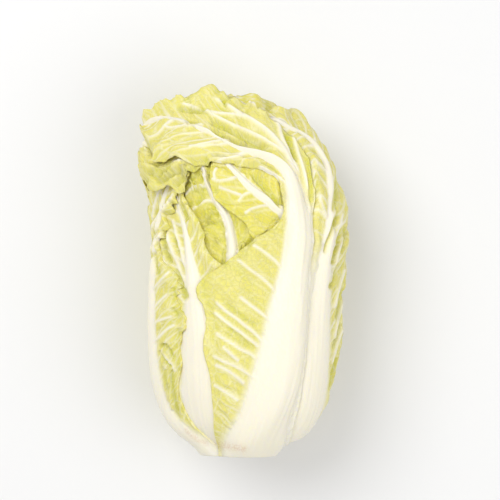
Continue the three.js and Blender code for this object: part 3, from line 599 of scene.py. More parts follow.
def wing_reach(leaf, index, side, u, length, stalk):
    """How far a wing reaches from the midrib in each row."""

    def uneven(features):
        size, lane, seed = features
        return noise(u * length / size, lane * side + 0 * u, seed + index)

    widths = along(leaf["left"] if side < 0 else leaf["right"], u)
    scallop = SCALLOP * np.sin(TURN * u * length / leaf["ruffle"] + 2.1 * index + side)
    rag = NOTCH_DEPTH * uneven(NOTCHES) + NICK_DEPTH * uneven(NICKS)
    rounded = leaf.get("tip", TIP_START)
    tip = np.sqrt(1 - (np.clip(u - rounded, 0, 1) / (1 - rounded)) ** 2)
    reach = widths * (1 + (scallop + rag) * smooth(u, 0.15, 0.4)) * np.maximum(tip, NARROWEST_TIP)
    reach += leaf.get("ragged", 0) * (uneven(TEARS) + uneven(SHREDS)) * smooth(u, 0.4, 0.55)
    return np.maximum(reach, stalk + STALK_MARGIN * smooth(u, 0, 0.1))


def lay_leaf(leaf, index):
    """Gives each row and column of a leaf its direction and its place in the leaf."""
    rows, *wing_columns = leaf["grid"]
    middle, length = midrib_directions(leaf["midrib"], rows + 1)
    u = np.linspace(0, 1, rows + 1)
    stalk = along(leaf["stalk"], u)
    spine = point_at(middle, 0 * u)
    forward = unit(np.gradient(spine, axis=0))
    turned = ROOT_RING * (1 - smooth(u, *ROOT_ROWS))[:, None]
    halves = []
    for side, columns in zip((-1, 1), wing_columns):
        reach = wing_reach(leaf, index, side, u, length, stalk)
        point = spine.copy()
        direction = np.cross(forward, barrel_normal(middle)) * side
        places = []
        for column in range(1, columns + 1):
            point = point + direction * (reach / columns)[:, None]
            n = place_of(point)[0]
            point = point_at(n, 0 * u)
            normal = barrel_normal(n)
            direction = unit(direction - normal * dot(direction, normal)[:, None])
            ring = unit(np.stack([n[:, 2], 0 * u, -n[:, 0]], -1)) * side
            direction = unit(direction + (ring - direction) * turned)
            share = column / columns
            places.append((n, side * reach * share, share + 0 * u, side + 0 * u))
        halves.append(places)
    centre = (middle, 0 * u, 0 * u, 0 * u)
    columns = [*halves[0][::-1], centre, *halves[1]]
    n, distance, out, side = (np.stack([c[k] for c in columns], 1) for k in range(4))
    shape = distance.shape
    return dict(leaf, n=n, distance=distance, out=out, side=side, index=index, length=length,
                u=np.broadcast_to(u[:, None], shape), s=np.broadcast_to(u[:, None] * length, shape),
                stalk_at=np.broadcast_to(stalk[:, None], shape))


# ---- The form of a leaf: heights over what it lies on, in millimetres ----

# In a leaf that is laid, u is the share of its length from the root, s the length itself, distance how far
# a place is to the right of the midrib, out the share of that wing's width, and side -1, 0 or 1.

# Noise on a leaf: how long its features are along the leaf and across it, and its seed
LEAF_NOISE = {
    "vein_wobble": (19, 19, 80), "vein_shake": (6, 6, 81), "frill_warp": (18, 18, 90), "roll": (24, 20, 340),
    "stalk_drift": (70, 7, 360), "stalk_grain": (40, 4, 365), "crumple": (8, 7, 380),
    "fine_crumple": (4, 3.4, 385),
}
# Where a stalk ends and its blade starts, in shares of half the stalk's width
RIDGED_STALK = (0.7, 1.0)
RAISED_BLADE = (0.75, 1.15)
COLOURED_BLADE = (0.85, 1.45)
LONG_WAVE = 0.36  # shares of a margin's wave
SHORT_WAVE = 0.14
SHORT_WAVE_TURNS = 1.7  # short waves in a long one
TIP_WAVE = 0.6
VEIN_FOLD = 0.9  # height of the low folds that run out along the side veins
VEIN_FOLD_PITCH = 26.0
VEIN_FOLD_SLANT = 0.9
GATHER_START = (3.0, 14.0)  # how far from the gathered place its folds rise
GATHER_END = (44.0, 60.0)  # and where they die out


def band(gap, half):
    """1 on a line, and less to each side of it, over about half a width."""
    return np.exp(-((gap / half) ** 2))


def leaf_noise(leaf, name):
    lengthwise, across, seed = LEAF_NOISE[name]
    return noise(leaf["s"] / lengthwise, leaf["distance"] / across, seed + leaf["index"])


def past_stalk(leaf, start, end):
    """0 on the stalk and 1 on the blade, between two shares of half the stalk's width."""
    return smooth(np.abs(leaf["distance"]), start * leaf["stalk_at"], end * leaf["stalk_at"])


def stalk_thickness(leaf):
    across = np.clip(np.abs(leaf["distance"]) / leaf["stalk_at"], 0, 1)
    return along(leaf["rib"], leaf["u"]) * (1 - across**2) ** 0.8


def zone(leaf, key, default):
    """A share that is given along both wings or one, such as lively or pale_right."""
    value = np.full(leaf["u"].shape, float(default))
    for name, side in ((key, 0), (key + "_left", -1), (key + "_right", 1)):
        if name in leaf:
            here = (leaf["side"] == side) | (side == 0)
            value = np.where(here, along(leaf[name], leaf["u"]), value)
    return np.clip(value, 0, 1)


def margin_wave(leaf):
    """Long and short waves of the margin and the tip, and low folds along the side veins."""
    turn = TURN * leaf["s"] / leaf["ruffle"]
    phase = 1.7 * leaf["index"] + 1.1 * leaf["side"]
    wave = 0.5 + LONG_WAVE * np.sin(turn + phase) + SHORT_WAVE * np.sin(SHORT_WAVE_TURNS * turn + 2 * phase)
    edge = smooth(leaf["out"], 0.3, 1) * smooth(leaf["u"], 0.1, 0.3)
    end = smooth(leaf["u"], 0.85, 1) * TIP_WAVE
    away = np.abs(leaf["distance"])
    slant = TURN * (leaf["s"] - VEIN_FOLD_SLANT * away) / VEIN_FOLD_PITCH
    stalk = leaf["stalk_at"]
    fold = VEIN_FOLD * np.sin(slant + phase) * np.clip((away - stalk) / stalk, 0, 1)
    raised = leaf["wave"] * wave * np.maximum(edge, end) + leaf["lift"] * edge
    return raised * zone(leaf, "lively", 1) + fold


def gathered_folds(leaf):
    """Folds that spread from the place where a leaf is gathered."""
    if "gather" not in leaf:
        return 0
    x, y, folds, depth, phase = leaf["gather"]
    point = point_at(leaf["n"], 0 * leaf["u"])
    away = np.hypot(point[..., 0] - x, point[..., 1] - y)
    turn = np.arctan2(point[..., 1] - y, point[..., 0] - x)
    near = smooth(away, *GATHER_START) * (1 - smooth(away, *GATHER_END)) * smooth(leaf["n"][..., 2], 0.0, 0.4)
    return depth * np.abs(np.sin(folds * turn / 2 + phase + 0.2 * np.sin(away / 5))) ** 0.8 * near


def loft(leaf):
    """How far a leaf as a whole, and the margin of its right wing, are raised."""
    raised = along(leaf["loft"], leaf["u"]) if "loft" in leaf else 0
    if "crest" in leaf:
        raised = raised + along(leaf["crest"], leaf["u"]) * smooth(leaf["out"], 0.2, 1) * (leaf["side"] > 0)
    return raised


# ---- The small veins of a leaf ----

VEIN_SLANTS = [1.15, 1.0, 0.8]  # from root to tip, for a leaf that has none of its own
VEIN_STRAIGHTENING = 0.003  # of a slant, for each millimetre out
FIRST_VEIN = -60.0  # side veins start this far along the midrib, so that some come in over the root
VEIN_GAPS = (8.0, 13.5)  # between one side vein and the next, where their slant is usual
USUAL_SLANT = 1.45
VEIN_WOBBLE = 2.0
VEIN_SHAKE = 0.8
VEIN_WIDTHS = (0.6, 1.2)  # of a vein's usual width
VEIN_FORKS = (0.3, 0.7)  # where a vein forks, and where it ends, as shares of a wing's width
VEIN_ENDS = (0.55, 1.2)
VEIN_SEED = 500
NO_VEIN = 20.0  # as far from a vein as a place can be
VEIN_CORE = 0.3
VEIN_HALF_WIDTH = 1.3
VEIN_BAND_HALF_WIDTH = 0.9
FORK_SPREAD = 5.5
FORK_HALF_WIDTH = 0.6
NET_CELL = (6.0, 7.5)  # across and along the side veins
NET_HALF_WIDTH = 0.065  # in cells
NET_SEED = 200


def side_veins(leaf):
    """The veins that branch off the midrib: their ridges and their pale bands, how near each place is to
    one, a distance across them, and how much of each place is blade and not stalk."""
    shape, index, length = leaf["u"].shape, leaf["index"], leaf["length"]
    ridge, pale, across = np.zeros(shape), np.zeros(shape), np.zeros(shape)
    nearest = np.full(shape, NO_VEIN)
    away = np.abs(leaf["distance"])
    wobble = VEIN_WOBBLE * leaf_noise(leaf, "vein_wobble") + VEIN_SHAKE * leaf_noise(leaf, "vein_shake")
    for side, key in ((-1, "slant_left"), (1, "slant_right")):
        here = leaf["side"] == side
        slants = leaf.get(key, VEIN_SLANTS)
        rng = np.random.default_rng(VEIN_SEED + 7 * index + side)
        # q is where on the midrib the vein through a place would start
        q = leaf["s"].copy()
        for _ in range(6):
            q = 0.5 * (q + leaf["s"] - along(slants, q / length) * away + VEIN_STRAIGHTENING * away**2)
        steep = np.hypot(1, along(slants, q / length))
        across = np.where(here, q / steep + wobble, across)
        start = FIRST_VEIN
        while start < length:
            wide, fork, end = (rng.uniform(*draw) for draw in (VEIN_WIDTHS, VEIN_FORKS, VEIN_ENDS))
            kept = here * (1 - 0.85 * smooth(leaf["out"], end, end + 0.3))
            taper = np.clip(1 - 0.8 * leaf["out"], 0.15, 1) * wide
            gap = np.abs((q - start) / steep + wobble)
            ridge = np.maximum(ridge, band(gap, VEIN_CORE + VEIN_HALF_WIDTH * taper) * taper * kept)
            paler = band(gap, VEIN_CORE + VEIN_BAND_HALF_WIDTH * taper) * kept * (0.45 + 0.55 * taper)
            pale = np.maximum(pale, paler)
            nearest = np.where(here, np.minimum(nearest, gap), nearest)
            turn_off = FORK_SPREAD * steep * np.clip(leaf["out"] - fork, 0, 1) / (1.02 - fork)
            gap = np.abs((q - start - turn_off) / steep + wobble)
            grown = band(gap, FORK_HALF_WIDTH) * smooth(leaf["out"], fork, fork + 0.05) * kept
            ridge = np.maximum(ridge, 0.35 * grown)
            pale = np.maximum(pale, 0.5 * grown)
            steepness = math.hypot(1, float(along(slants, max(start, 0) / length)))
            start += rng.uniform(*VEIN_GAPS) * steepness / USUAL_SLANT
    return ridge, pale, nearest, across, past_stalk(leaf, *RAISED_BLADE)


def vein_cells(x, y, seed):
    """How far each place is from the edge of its cell, and the cell's own draw, in a net of small veins."""
    draw = np.random.default_rng(seed).uniform(0, 1, (3, NOISE_SIDE, NOISE_SIDE))
    x0, y0 = np.floor(x).astype(int), np.floor(y).astype(int)
    near, second = np.full(x.shape, np.inf), np.full(x.shape, np.inf)
    own = np.zeros(x.shape)
    for a in (-1, 0, 1):
        for b in (-1, 0, 1):
            i, j = (x0 + a) % NOISE_SIDE, (y0 + b) % NOISE_SIDE
            px, py = x0 + a + 0.1 + 0.8 * draw[0, i, j], y0 + b + 0.1 + 0.8 * draw[1, i, j]
            gap = np.hypot(x - px, y - py)
            closer = gap < near
            second = np.where(closer, near, np.minimum(second, gap))
            own = np.where(closer, draw[2, i, j], own)
            near = np.where(closer, gap, near)
    return (second - near) / 2, own


# ---- The drawn veins, creases and stains of a leaf ----

STEPS_PER_POINT = 5


def drawn(lines, leaf, points):
    """For each line, how far every place on top is from it, how far along it is and on which side."""
    top = smooth(leaf["n"][..., 2], -0.1, 0.15)
    for line, first, second, height in lines.get(leaf["node"], ()):
        line = along(np.array(line, float), np.linspace(0, 1, STEPS_PER_POINT * len(line)))
        best = np.full(leaf["u"].shape, np.inf)
        where, left = np.zeros(leaf["u"].shape), np.zeros(leaf["u"].shape, bool)
        for k, (a, b) in enumerate(zip(line[:-1], line[1:])):
            step = b - a
            t = np.clip(((points[..., :2] - a) @ step) / (step @ step), 0, 1)
            dx, dy = points[..., 0] - a[0] - t * step[0], points[..., 1] - a[1] - t * step[1]
            gap = np.hypot(dx, dy)
            where = np.where(gap < best, (k + t) / (len(line) - 1), where)
            left = np.where(gap < best, step[0] * dy - step[1] * dx > 0, left)
            best = np.minimum(best, gap)
        yield best, where, left, first, second, height, top


def bold_veins(leaf, points):
    """The boldest side veins: their height and their pale bands."""
    ridge, pale = np.zeros(leaf["u"].shape), np.zeros(leaf["u"].shape)
    for gap, where, _, wide, narrow, height, top in drawn(VEINS, leaf, points):
        half = wide + (narrow - wide) * where
        grown = smooth(where, 0, 0.12) * smooth(1 - where, 0, 0.08) * top
        ridge = np.maximum(ridge, height * (1 - 0.4 * where) * band(gap, half) * grown)
        pale = np.maximum(pale, band(gap, 1.05 * half) * grown)
    return ridge, pale


def creases(leaf, points):
    """The deepest folds: how deep they are, and how much painted shade they take in the colour of creases."""
    depth, deep = np.zeros(leaf["u"].shape), np.zeros(leaf["u"].shape)
    for gap, where, left, on_right, on_left, most, top in drawn(CREASES, leaf, points):
        grown = smooth(where, 0, 0.2) * smooth(1 - where, 0, 0.2) * top
        profile = band(gap, np.where(left, on_left, on_right)) * grown
        depth = np.maximum(depth, most * profile)
        # Painted shade along the crease, stronger for a deeper one
        deep = np.maximum(deep, min(1.0, 0.3 + 0.3 * most) * profile)
    return depth, deep


def stains(leaf, points):
    """Browned lines by the stem."""
    stain = np.zeros(leaf["u"].shape)
    for gap, where, _, wide, narrow, strength, top in drawn(STAINS, leaf, points):
        half = wide + (narrow - wide) * where
        stain = np.maximum(stain, strength * band(gap, half) * smooth(where, 0, 0.1) * top)
    return stain


# ---- The relief of a blade ----

FRILL_PITCH = 10.5
TIP_FRILL_PITCH = 11.0
FRILL_WARP = 5.0
FRILL_PATCH = 25.0  # how long a stretch of stronger or weaker frills is
FRILL_SEED = 95
CRINKLES = (4.5, 9.0, 300)  # size across the side veins and along them, and seed
FINE_CRINKLES = (2.4, 4.0, 320)
PILLOW = 0.9  # of a blister's height, between side veins
ROLL_HEIGHT = 0.8
STALK_RIDGE_PITCH = 3.6
STALK_RIDGE_DRIFT = 0.9  # of the pitch
COVERED_RELIEF = 0.15  # how much relief is left where later leaves lie on top
COVERED_VEINS = 0.25


def frill(leaf):
    """Tight ruffles along a free margin."""
    warp = FRILL_WARP * leaf_noise(leaf, "frill_warp")
    turn = TURN * (leaf["s"] + warp) / FRILL_PITCH
    edge = smooth(leaf["out"], 0.62, 1.0) ** 1.4 * smooth(leaf["u"], 0.2, 0.4)
    tip = smooth(leaf["u"], 0.93, 1.0)
    across = TURN * (leaf["distance"] + warp) / TIP_FRILL_PITCH
    strength = 0.6 + 0.4 * noise(leaf["s"] / FRILL_PATCH, 9.0 + leaf["side"], FRILL_SEED + leaf["index"])
    size = zone(leaf, "lively", 1) * strength
    return size * (edge * np.sin(turn) + tip * (1 - edge) * np.sin(across))


def blade_relief(leaf, ridge, nearest, across, blade, gap, own):
    """Blisters between the veins, crinkles, crumples, broad rolls and frills."""
    form = bpy.context.scene.cabbage_form

    def crinkles(features):
        width, length, seed = features
        return noise(across / width, np.abs(leaf["distance"]) / length, seed + leaf["index"])

    puff = smooth(gap, 0.0, 0.35) * (0.4 + 0.6 * own) * blade * (1 - np.clip(ridge, 0, 1))
    pillow = smooth(nearest, 0.5, 4.5) * blade
    crinkle = crinkles(CRINKLES) + 0.5 * crinkles(FINE_CRINKLES)
    crinkle *= smooth(leaf["out"], 0.1, 0.9) * leaf.get("crinkle", 1)
    crumple = 1 - 3 * np.abs(leaf_noise(leaf, "crumple")) - 1.5 * np.abs(leaf_noise(leaf, "fine_crumple"))
    return (form.blister_height / MM * (puff + PILLOW * pillow)
            + form.crinkle_height / MM * crinkle * blade
            + leaf.get("crumple", 0) * crumple * blade
            + ROLL_HEIGHT * leaf_noise(leaf, "roll") * blade
            + form.frill_height / MM * frill(leaf))


def stalk_ridges(leaf):
    """Fine ridges that run along the stalk, and over a blade that looks like stalk."""
    drift = leaf["distance"] / STALK_RIDGE_PITCH + STALK_RIDGE_DRIFT * leaf_noise(leaf, "stalk_drift")
    grain = np.sin(TURN * drift) * (0.6 + 0.4 * leaf_noise(leaf, "stalk_grain"))
    on_stalk = np.maximum(1 - past_stalk(leaf, *RIDGED_STALK), zone(leaf, "pale", 0))
    return (0.5 + 0.5 * grain) * on_stalk * smooth(leaf["u"], 0.02, 0.12)


# ---- Laying a leaf on the pile ----

AIR = 0.6  # left between a leaf and what it lies on, before it is drawn close
CLOSEST = 0.3
LEAF_SETTLING = 320  # rounds in which a leaf draws tight over what is under it
SETTLING_STEP = 0.6
TUCK_START = 0.93  # where a covered tip starts to lie close
TUCK = 0.9
USUAL_HUG = 0.3
BLADE_THICKNESS = 1.0
MARGIN_THINNING = 0.45
LEAST_THICKNESS = 0.5
LEAST_UNDER_CREASE = 1.0
SEALED_GAP = 1.6  # a margin that lies this close is drawn down to what is under it
SEALED_DEPTH = 0.2
HOLLOW_BLUR = 26  # rounds of blurring, to tell a hollow from what is round it
FULL_SHADE_HOLLOW_DEPTH = 1.4  # of a hollow that takes all the painted shade
CREASE_TINT = 0.9  # how much of a vein's paleness the painted crease shade takes away
NET_TINT_SHARE = 0.45
NET_RIDGE = 0.25  # of a side vein's height


def settled(floor):
    """A sheet drawn tight over a floor of heights."""
    sheet = floor.copy()
    for _ in range(LEAF_SETTLING):
        sheet = np.maximum(floor, sheet + SETTLING_STEP * (mean_round(sheet) - sheet))
    return sheet


def drape(pile, leaf):
    """Settles a leaf on the pile and gives it its relief and its paint."""
    form = bpy.context.scene.cabbage_form
    index, n, u, out = leaf["index"], leaf["n"], leaf["u"], leaf["out"]
    free = np.clip(pile.free(n, index), 0, 1)
    floor = pile.floor(n, 3) + AIR
    inner = settled(floor)
    inner -= TUCK * smooth(u, TUCK_START, 1) * (1 - free) * (inner - floor)
    inner = inner + (margin_wave(leaf) + gathered_folds(leaf) + loft(leaf)) * free

    # Its small veins and the relief between them, which later leaves press flat
    ridge, pale, nearest, across, blade = side_veins(leaf)
    fine = zone(leaf, "fine", 1)
    ridge, pale = ridge * fine, pale * fine
    away = np.abs(leaf["distance"])
    cell_across, cell_along = NET_CELL
    gap, own = vein_cells(across / cell_across, away / cell_along + 20 * leaf["side"], NET_SEED + index)
    net = band(gap, NET_HALF_WIDTH) * blade
    relief = blade_relief(leaf, ridge, nearest, across, blade, gap, own)
    inner = inner + relief * (COVERED_RELIEF + (1 - COVERED_RELIEF) * free)
    under = pile.floor(n, 1) + CLOSEST
    inner -= zone(leaf, "hug", USUAL_HUG) * smooth(out, 0.65, 1) * np.maximum(inner - under, 0)
    inner = np.maximum(inner, under)

    # Its outer face, with the drawn veins and creases
    thin = BLADE_THICKNESS - MARGIN_THINNING * smooth(out, 0.75, 1)
    outer = inner + thin + stalk_thickness(leaf) + form.stalk_ridge_height / MM * stalk_ridges(leaf)
    points = point_at(n, outer) + HEAD_CENTRE
    bold, bold_pale = bold_veins(leaf, points)
    sunk, deep = creases(leaf, points)
    vein = form.vein_height / MM * np.maximum(ridge * blade, NET_RIDGE * net) + bold * blade
    outer += vein * (COVERED_VEINS + (1 - COVERED_VEINS) * free)
    outer -= np.minimum(sunk * free, np.maximum(outer - pile.floor(n, 2) - LEAST_UNDER_CREASE, 0))
    inner = np.minimum(inner, outer - LEAST_THICKNESS)
    room = inner - pile.floor(n, 0)
    inner -= smooth(out, 0.9, 1) * np.clip(SEALED_GAP - room, 0, 1) * (room + SEALED_DEPTH)
    pile.add(point_at(n, outer))

    # The masks that its colours follow
    # Painted shade: hollows in the outer face and the creases are given the colour of creases, as if shade
    # fell in them, and some leaves are given more or less of it
    low = np.clip((blurred(outer, HOLLOW_BLUR) - outer) / FULL_SHADE_HOLLOW_DEPTH, -1, 1)
    blade = blade * past_stalk(leaf, *COLOURED_BLADE) * (1 - zone(leaf, "pale", 0))
    leaf["white"] = np.clip(np.maximum(1 - blade, np.maximum(pale, bold_pale)) - CREASE_TINT * deep, 0, 1)
    leaf["net"] = NET_TINT_SHARE * net * blade * (0.35 + 0.65 * fine)
    leaf["low"] = np.clip(np.maximum(low * blade, deep) + leaf.get("added_shade", 0) * blade, 0, 1)
    leaf["margin"] = smooth(out, 0.45, 1) * blade
    leaf["cut"] = np.maximum(1 - smooth(leaf["s"], 1.0, 5.0), stains(leaf, points))
    leaf["inner"], leaf["outer"] = inner, outer
    return leaf


# ---- Meshes ----

LAY_UNIT = 100.0  # millimetres of a leaf to one unit of the map that its fine veins lie on
INNER_FACE_INSET = 0.7  # of a leaf's inner face, where the head is cut or lies on the floor

HEART_RINGS = 130
HEART_LAYERS = 5  # margins round the heart
HEART_LAYER_SKEW = 0.8
LAYER_DEPTH = 2.4
LAYER_EDGE = 0.07  # share of a layer that the step up to its margin takes
HEART_TILT = 0.36  # of the ring next to the stump, in radians
HEART_SINK = -0.3  # height of the ends of the heart over its plain surface
HEART_BODY_SINK = -0.5
STUMP_RINGS = 26
STUMP_START = 0.03  # of the stem's radius
STUMP_EDGE = 1.12
STUMP_HEIGHT = 0.35
STUMP_MIDDLE_HEIGHT = 0.5
CRESCENT_HEIGHT = 0.3
CRESCENTS = (2.6, 1.91)  # from the stump's middle outwards, and round it
STUMP_MIDDLE_MASK = 0.4  # its cut, its white and its painted shade


def to_metres(points, inset):
    """Points in metres, held inside the cut across the stem and above the floor."""
    points = points.copy()
    points[..., 1] = np.maximum(points[..., 1], inset - HEAD_HALF_LENGTH)
    points += HEAD_CENTRE
    points[..., 2] = np.maximum(points[..., 2], inset)
    return points.reshape(-1, 3) * MM


def mesh_object(name, vertices, quads, layers, uv, flat=0):
    """The last faces, as many as flat says, are shaded flat, so that a sharp margin stays sharp."""
    mesh = bpy.data.meshes.new(name)
    count = len(quads)
    mesh.vertices.add(len(vertices))
    mesh.vertices.foreach_set("co", vertices.astype(np.float32).ravel())
    mesh.loops.add(4 * count)
    mesh.loops.foreach_set("vertex_index", quads.astype(np.int32).ravel())
    mesh.polygons.add(count)
    mesh.polygons.foreach_set("loop_start", np.arange(0, 4 * count, 4, dtype=np.int32))
    mesh.update(calc_edges=True)
    mesh.validate()
    mesh.polygons.foreach_set("use_smooth", np.arange(len(mesh.polygons)) < count - flat)
    for key, values in layers.items():
        attribute = mesh.attributes.new(key, "FLOAT", "POINT")
        attribute.data.foreach_set("value", values.astype(np.float32).ravel())
    where = mesh.uv_layers.new(name="lay")
    where.data.foreach_set("uv", uv[quads.ravel()].astype(np.float32).ravel())
    piece = bpy.data.objects.new(name, mesh)
    bpy.context.scene.collection.objects.link(piece)
    return piece


def grid_quads(rows, columns):
    at = np.arange(rows * columns).reshape(rows, columns)
    return np.stack([at[:-1, :-1], at[:-1, 1:], at[1:, 1:], at[1:, :-1]], -1).reshape(-1, 4)


def leaf_mesh(leaf):
    """A closed sheet: an outer and an inner face, joined round the margin."""
    rows, columns = leaf["u"].shape
    vertices = np.concatenate([to_metres(point_at(leaf["n"], leaf["outer"]), 0.0),
                               to_metres(point_at(leaf["n"], leaf["inner"]), INNER_FACE_INSET)])
    under = rows * columns
    outer = grid_quads(rows, columns)
    inner = outer[:, ::-1] + under
    at = np.arange(under).reshape(rows, columns)
    ring = np.concatenate([at[0, :-1], at[:-1, -1], at[-1, :0:-1], at[:0:-1, 0]])
    after = np.roll(ring, -1)
    rim = np.stack([after, ring, ring + under, after + under], -1)
    # The low layer carries the painted shade of hollows and creases.
    layers = {key: np.tile(leaf[key].ravel(), 2) for key in ("white", "net", "low", "margin", "cut")}
    uv = np.stack([leaf["distance"], leaf["s"]], -1).reshape(-1, 2) / LAY_UNIT
    return mesh_object("veined_" + leaf["node"], vertices, np.concatenate([outer, inner, rim]), layers,
                       np.tile(uv, (2, 1)), flat=len(rim))


def heart_rings(turn):
    """The rings of the heart from the middle of the stump on: their points, cut, white and painted shade."""

    def stump(share, lift):
        return np.stack([share * STEM_RADIUS * np.cos(turn) + STEM_SHIFT, lift - HEAD_HALF_LENGTH + 0 * turn,
                         share * STEM_RADIUS * np.sin(turn)], -1)

    outwards, round_stump = CRESCENTS
    for share in np.linspace(STUMP_START, 1, STUMP_RINGS):
        crescents = np.sin(TURN * (outwards * share + turn / TURN * round_stump))
        rising = smooth(share, 0.2, 0.5)
        lift = STUMP_HEIGHT + CRESCENT_HEIGHT * crescents * rising
        lift = lift + 0.2 * noise(7 * share * np.cos(turn) + 20, 7 * share * np.sin(turn) + 20, 11)
        lift = lift * (1 - smooth(share, 0.93, 1.0))
        cut = 0.35 + 0.65 * smooth(share, 0.86, 1.0)
        # The troughs between the crescents on the stump are painted with shade.
        yield stump(share, lift), cut, 1, np.clip(-crescents, 0, 1) * rising
    yield point_at(place_of(stump(STUMP_EDGE, 0))[0], HEART_SINK + 0 * turn), 0.5, 1, 0

    for ring in range(1, HEART_RINGS + 1):
        tilt = HEART_TILT + (math.pi - HEART_TILT) * ring / (HEART_RINGS + 1)
        x, y, z = math.sin(tilt) * np.cos(turn), -math.cos(tilt) + 0 * turn, math.sin(tilt) * np.sin(turn)
        layer = HEART_LAYERS * turn / TURN + HEART_LAYER_SKEW * y
        place = layer - np.floor(layer)
        fall = np.where(place < 1 - LAYER_EDGE, place / (1 - LAYER_EDGE), (1 - place) / LAYER_EDGE)
        fall = fall * smooth(math.sin(tilt), 0.3, 0.6)
        relief = 0.5 * noise(9 * x + 9, 12 * y + 30, 12) + 0.5 * noise(20 * x + 9, 30 * y, 13)
        points = point_at(np.stack([x, y, z], -1), HEART_BODY_SINK + 0.25 * relief - LAYER_DEPTH * fall)
        # The sunk part of each layer, under the margin of the next, is painted with shade.
        yield points, 0, 1 - smooth(y, -0.8, 0.2), fall
    crown = point_at(np.array([[0, 1, 0.0]]), np.full(1, HEART_SINK))
    yield np.repeat(crown, len(turn), 0), 0, 0, 0


def heart_object():
    """Packed leaves whose margins overlap round the heart, and the stump of the stem."""
    segments = bpy.context.scene.cabbage_form.heart_segments
    turn = np.linspace(0, TURN, segments, endpoint=False)
    points, *masks = zip(*heart_rings(turn))
    grid = np.stack(points)
    rows = len(grid)
    at = np.arange(rows * segments).reshape(rows, segments)
    after = np.roll(at, -1, 1)
    quads = np.stack([at[:-1], at[1:], after[1:], after[:-1]], -1).reshape(-1, 4)[:, ::-1]
    middle = [STEM_SHIFT, STUMP_MIDDLE_HEIGHT - HEAD_HALF_LENGTH, 0]
    vertices = (np.concatenate([grid.reshape(-1, 3), [middle]]) + HEAD_CENTRE) * MM
    hub = np.full(segments // 2, rows * segments)
    cap = np.stack([after[0, ::2], at[0, ::2], hub, np.roll(at[0], -2)[::2]], -1)
    cut, white, low = (np.append(np.stack([value + 0 * turn for value in mask]).ravel(), STUMP_MIDDLE_MASK)
                       for mask in masks)
    # The low layer carries the painted shade.
    layers = {"cut": cut, "white": white, "low": low, "net": 0 * cut, "margin": 0 * cut}
    uv = vertices[:, [0, 2]] / (LAY_UNIT * MM)
    return mesh_object("layered_heart", vertices, np.concatenate([quads, cap]), layers, uv)


# ---- Settings ----


class CabbageForm(bpy.types.PropertyGroup):
    """The sizes of the relief on the leaves."""

    vein_height: FloatProperty(name="Vein Height", description="How far a side vein stands out of its leaf",
                               default=0.0011, min=0, max=0.003, unit="LENGTH", precision=4)
    blister_height: FloatProperty(name="Blister Height",
                                  description="How far a blade puffs out between veins",
                                  default=0.0008, min=0, max=0.003, unit="LENGTH", precision=4)
    crinkle_height: FloatProperty(name="Crinkle Height",
                                  description="Height of the crinkles in the outer blade",
                                  default=0.0007, min=0, max=0.004, unit="LENGTH", precision=4)
    frill_height: FloatProperty(name="Frill Height", description="Height of the ruffles along a free margin",
                                default=0.0022, min=0, max=0.006, unit="LENGTH", precision=4)
    stalk_ridge_height: FloatProperty(name="Stalk Ridge Height",
                                      description="Height of the ridges along a stalk",
                                      default=0.0003, min=0, max=0.001, unit="LENGTH", precision=4)
    heart_segments: IntProperty(name="Heart Segments", description="Faces round the heart",
                                default=120, min=24, max=240)


class CabbageFinish(bpy.types.PropertyGroup):
    """The colours of the leaves."""

    stalk_color: FloatVectorProperty(name="Stalk", description="Colour of stalks and veins", subtype="COLOR",
                                     size=4, min=0, max=1, default=(0.90, 0.85, 0.70, 1))
    blade_color: FloatVectorProperty(name="Blade", description="Colour of the blades of outer leaves",
                                     subtype="COLOR", size=4, min=0, max=1, default=(0.82, 0.74, 0.20, 1))
    # Painted shade in creases and hollows, and the darker tone of the margins
    shade_and_margin_color: FloatVectorProperty(name="Creases", description="Colour of blades in creases and at margins",
                                    subtype="COLOR", size=4, min=0, max=1, default=(0.62, 0.60, 0.06, 1))
    heart_color: FloatVectorProperty(name="Inner Blade", description="Colour of the blades of inner leaves",
                                     subtype="COLOR", size=4, min=0, max=1, default=(0.82, 0.73, 0.12, 1))
    cut_color: FloatVectorProperty(name="Cut", description="Colour of the browned cut at the stem",
                                   subtype="COLOR", size=4, min=0, max=1, default=(0.62, 0.36, 0.17, 1))


class CabbageStage(bpy.types.PropertyGroup):
    """The floor, the lights and the camera."""

    floor_color: FloatVectorProperty(name="Floor", description="Colour of the floor", subtype="COLOR",
                                     size=3, min=0, max=1, default=(0.85, 0.85, 0.85))
    view_width: FloatProperty(name="View Width",
                              description="Width that the camera takes in at the head's side",
                              default=0.3625, min=0.1, unit="LENGTH", precision=4)
    camera_height: FloatProperty(name="Camera Height", description="Height of the camera over the floor",
                                 default=1.9, min=0.5, unit="LENGTH")
    light_power: FloatProperty(name="Light Power", description="Power of the main light",
                               default=15.0, min=0, unit="POWER")
    world_strength: FloatProperty(name="World Strength", description="Strength of the light from all round",
                                  default=0.58, min=0)


# ---- Materials ----

# Scales are in features to a metre, or to a unit of the map that the fine veins lie on.
CLOUD_SCALE = 28.0
SPECK_SCALE = 900.0
WARP_SCALE = 12.0
WARP_REACH = 0.03
NET_SIZE = 0.028
NET_LINE = 0.11  # share of a cell that its line takes
NET_TINT = 0.22  # how much of the stalk's colour a line takes
THREAD_STRETCH = (90.0, 2.5, 1.0)
THREAD_HEIGHT = 0.8  # of a line's
BUMP_STRENGTH = 0.6
BUMP_HEIGHT = 0.0004
STALK_ROUGHNESS = 0.4
BLADE_ROUGHER = 0.14


def node_group(name, inputs, outputs):
    group = bpy.data.node_groups.new(name, "ShaderNodeTree")
    for label, kind, default in inputs:
        socket = group.interface.new_socket(label, in_out="INPUT", socket_type=kind)
        if default is not None:
            socket.default_value = default
    for label, kind in outputs:
        group.interface.new_socket(label, in_out="OUTPUT", socket_type=kind)
    enter, leave = group.nodes.new("NodeGroupInput"), group.nodes.new("NodeGroupOutput")
    return group, enter.outputs, leave.inputs


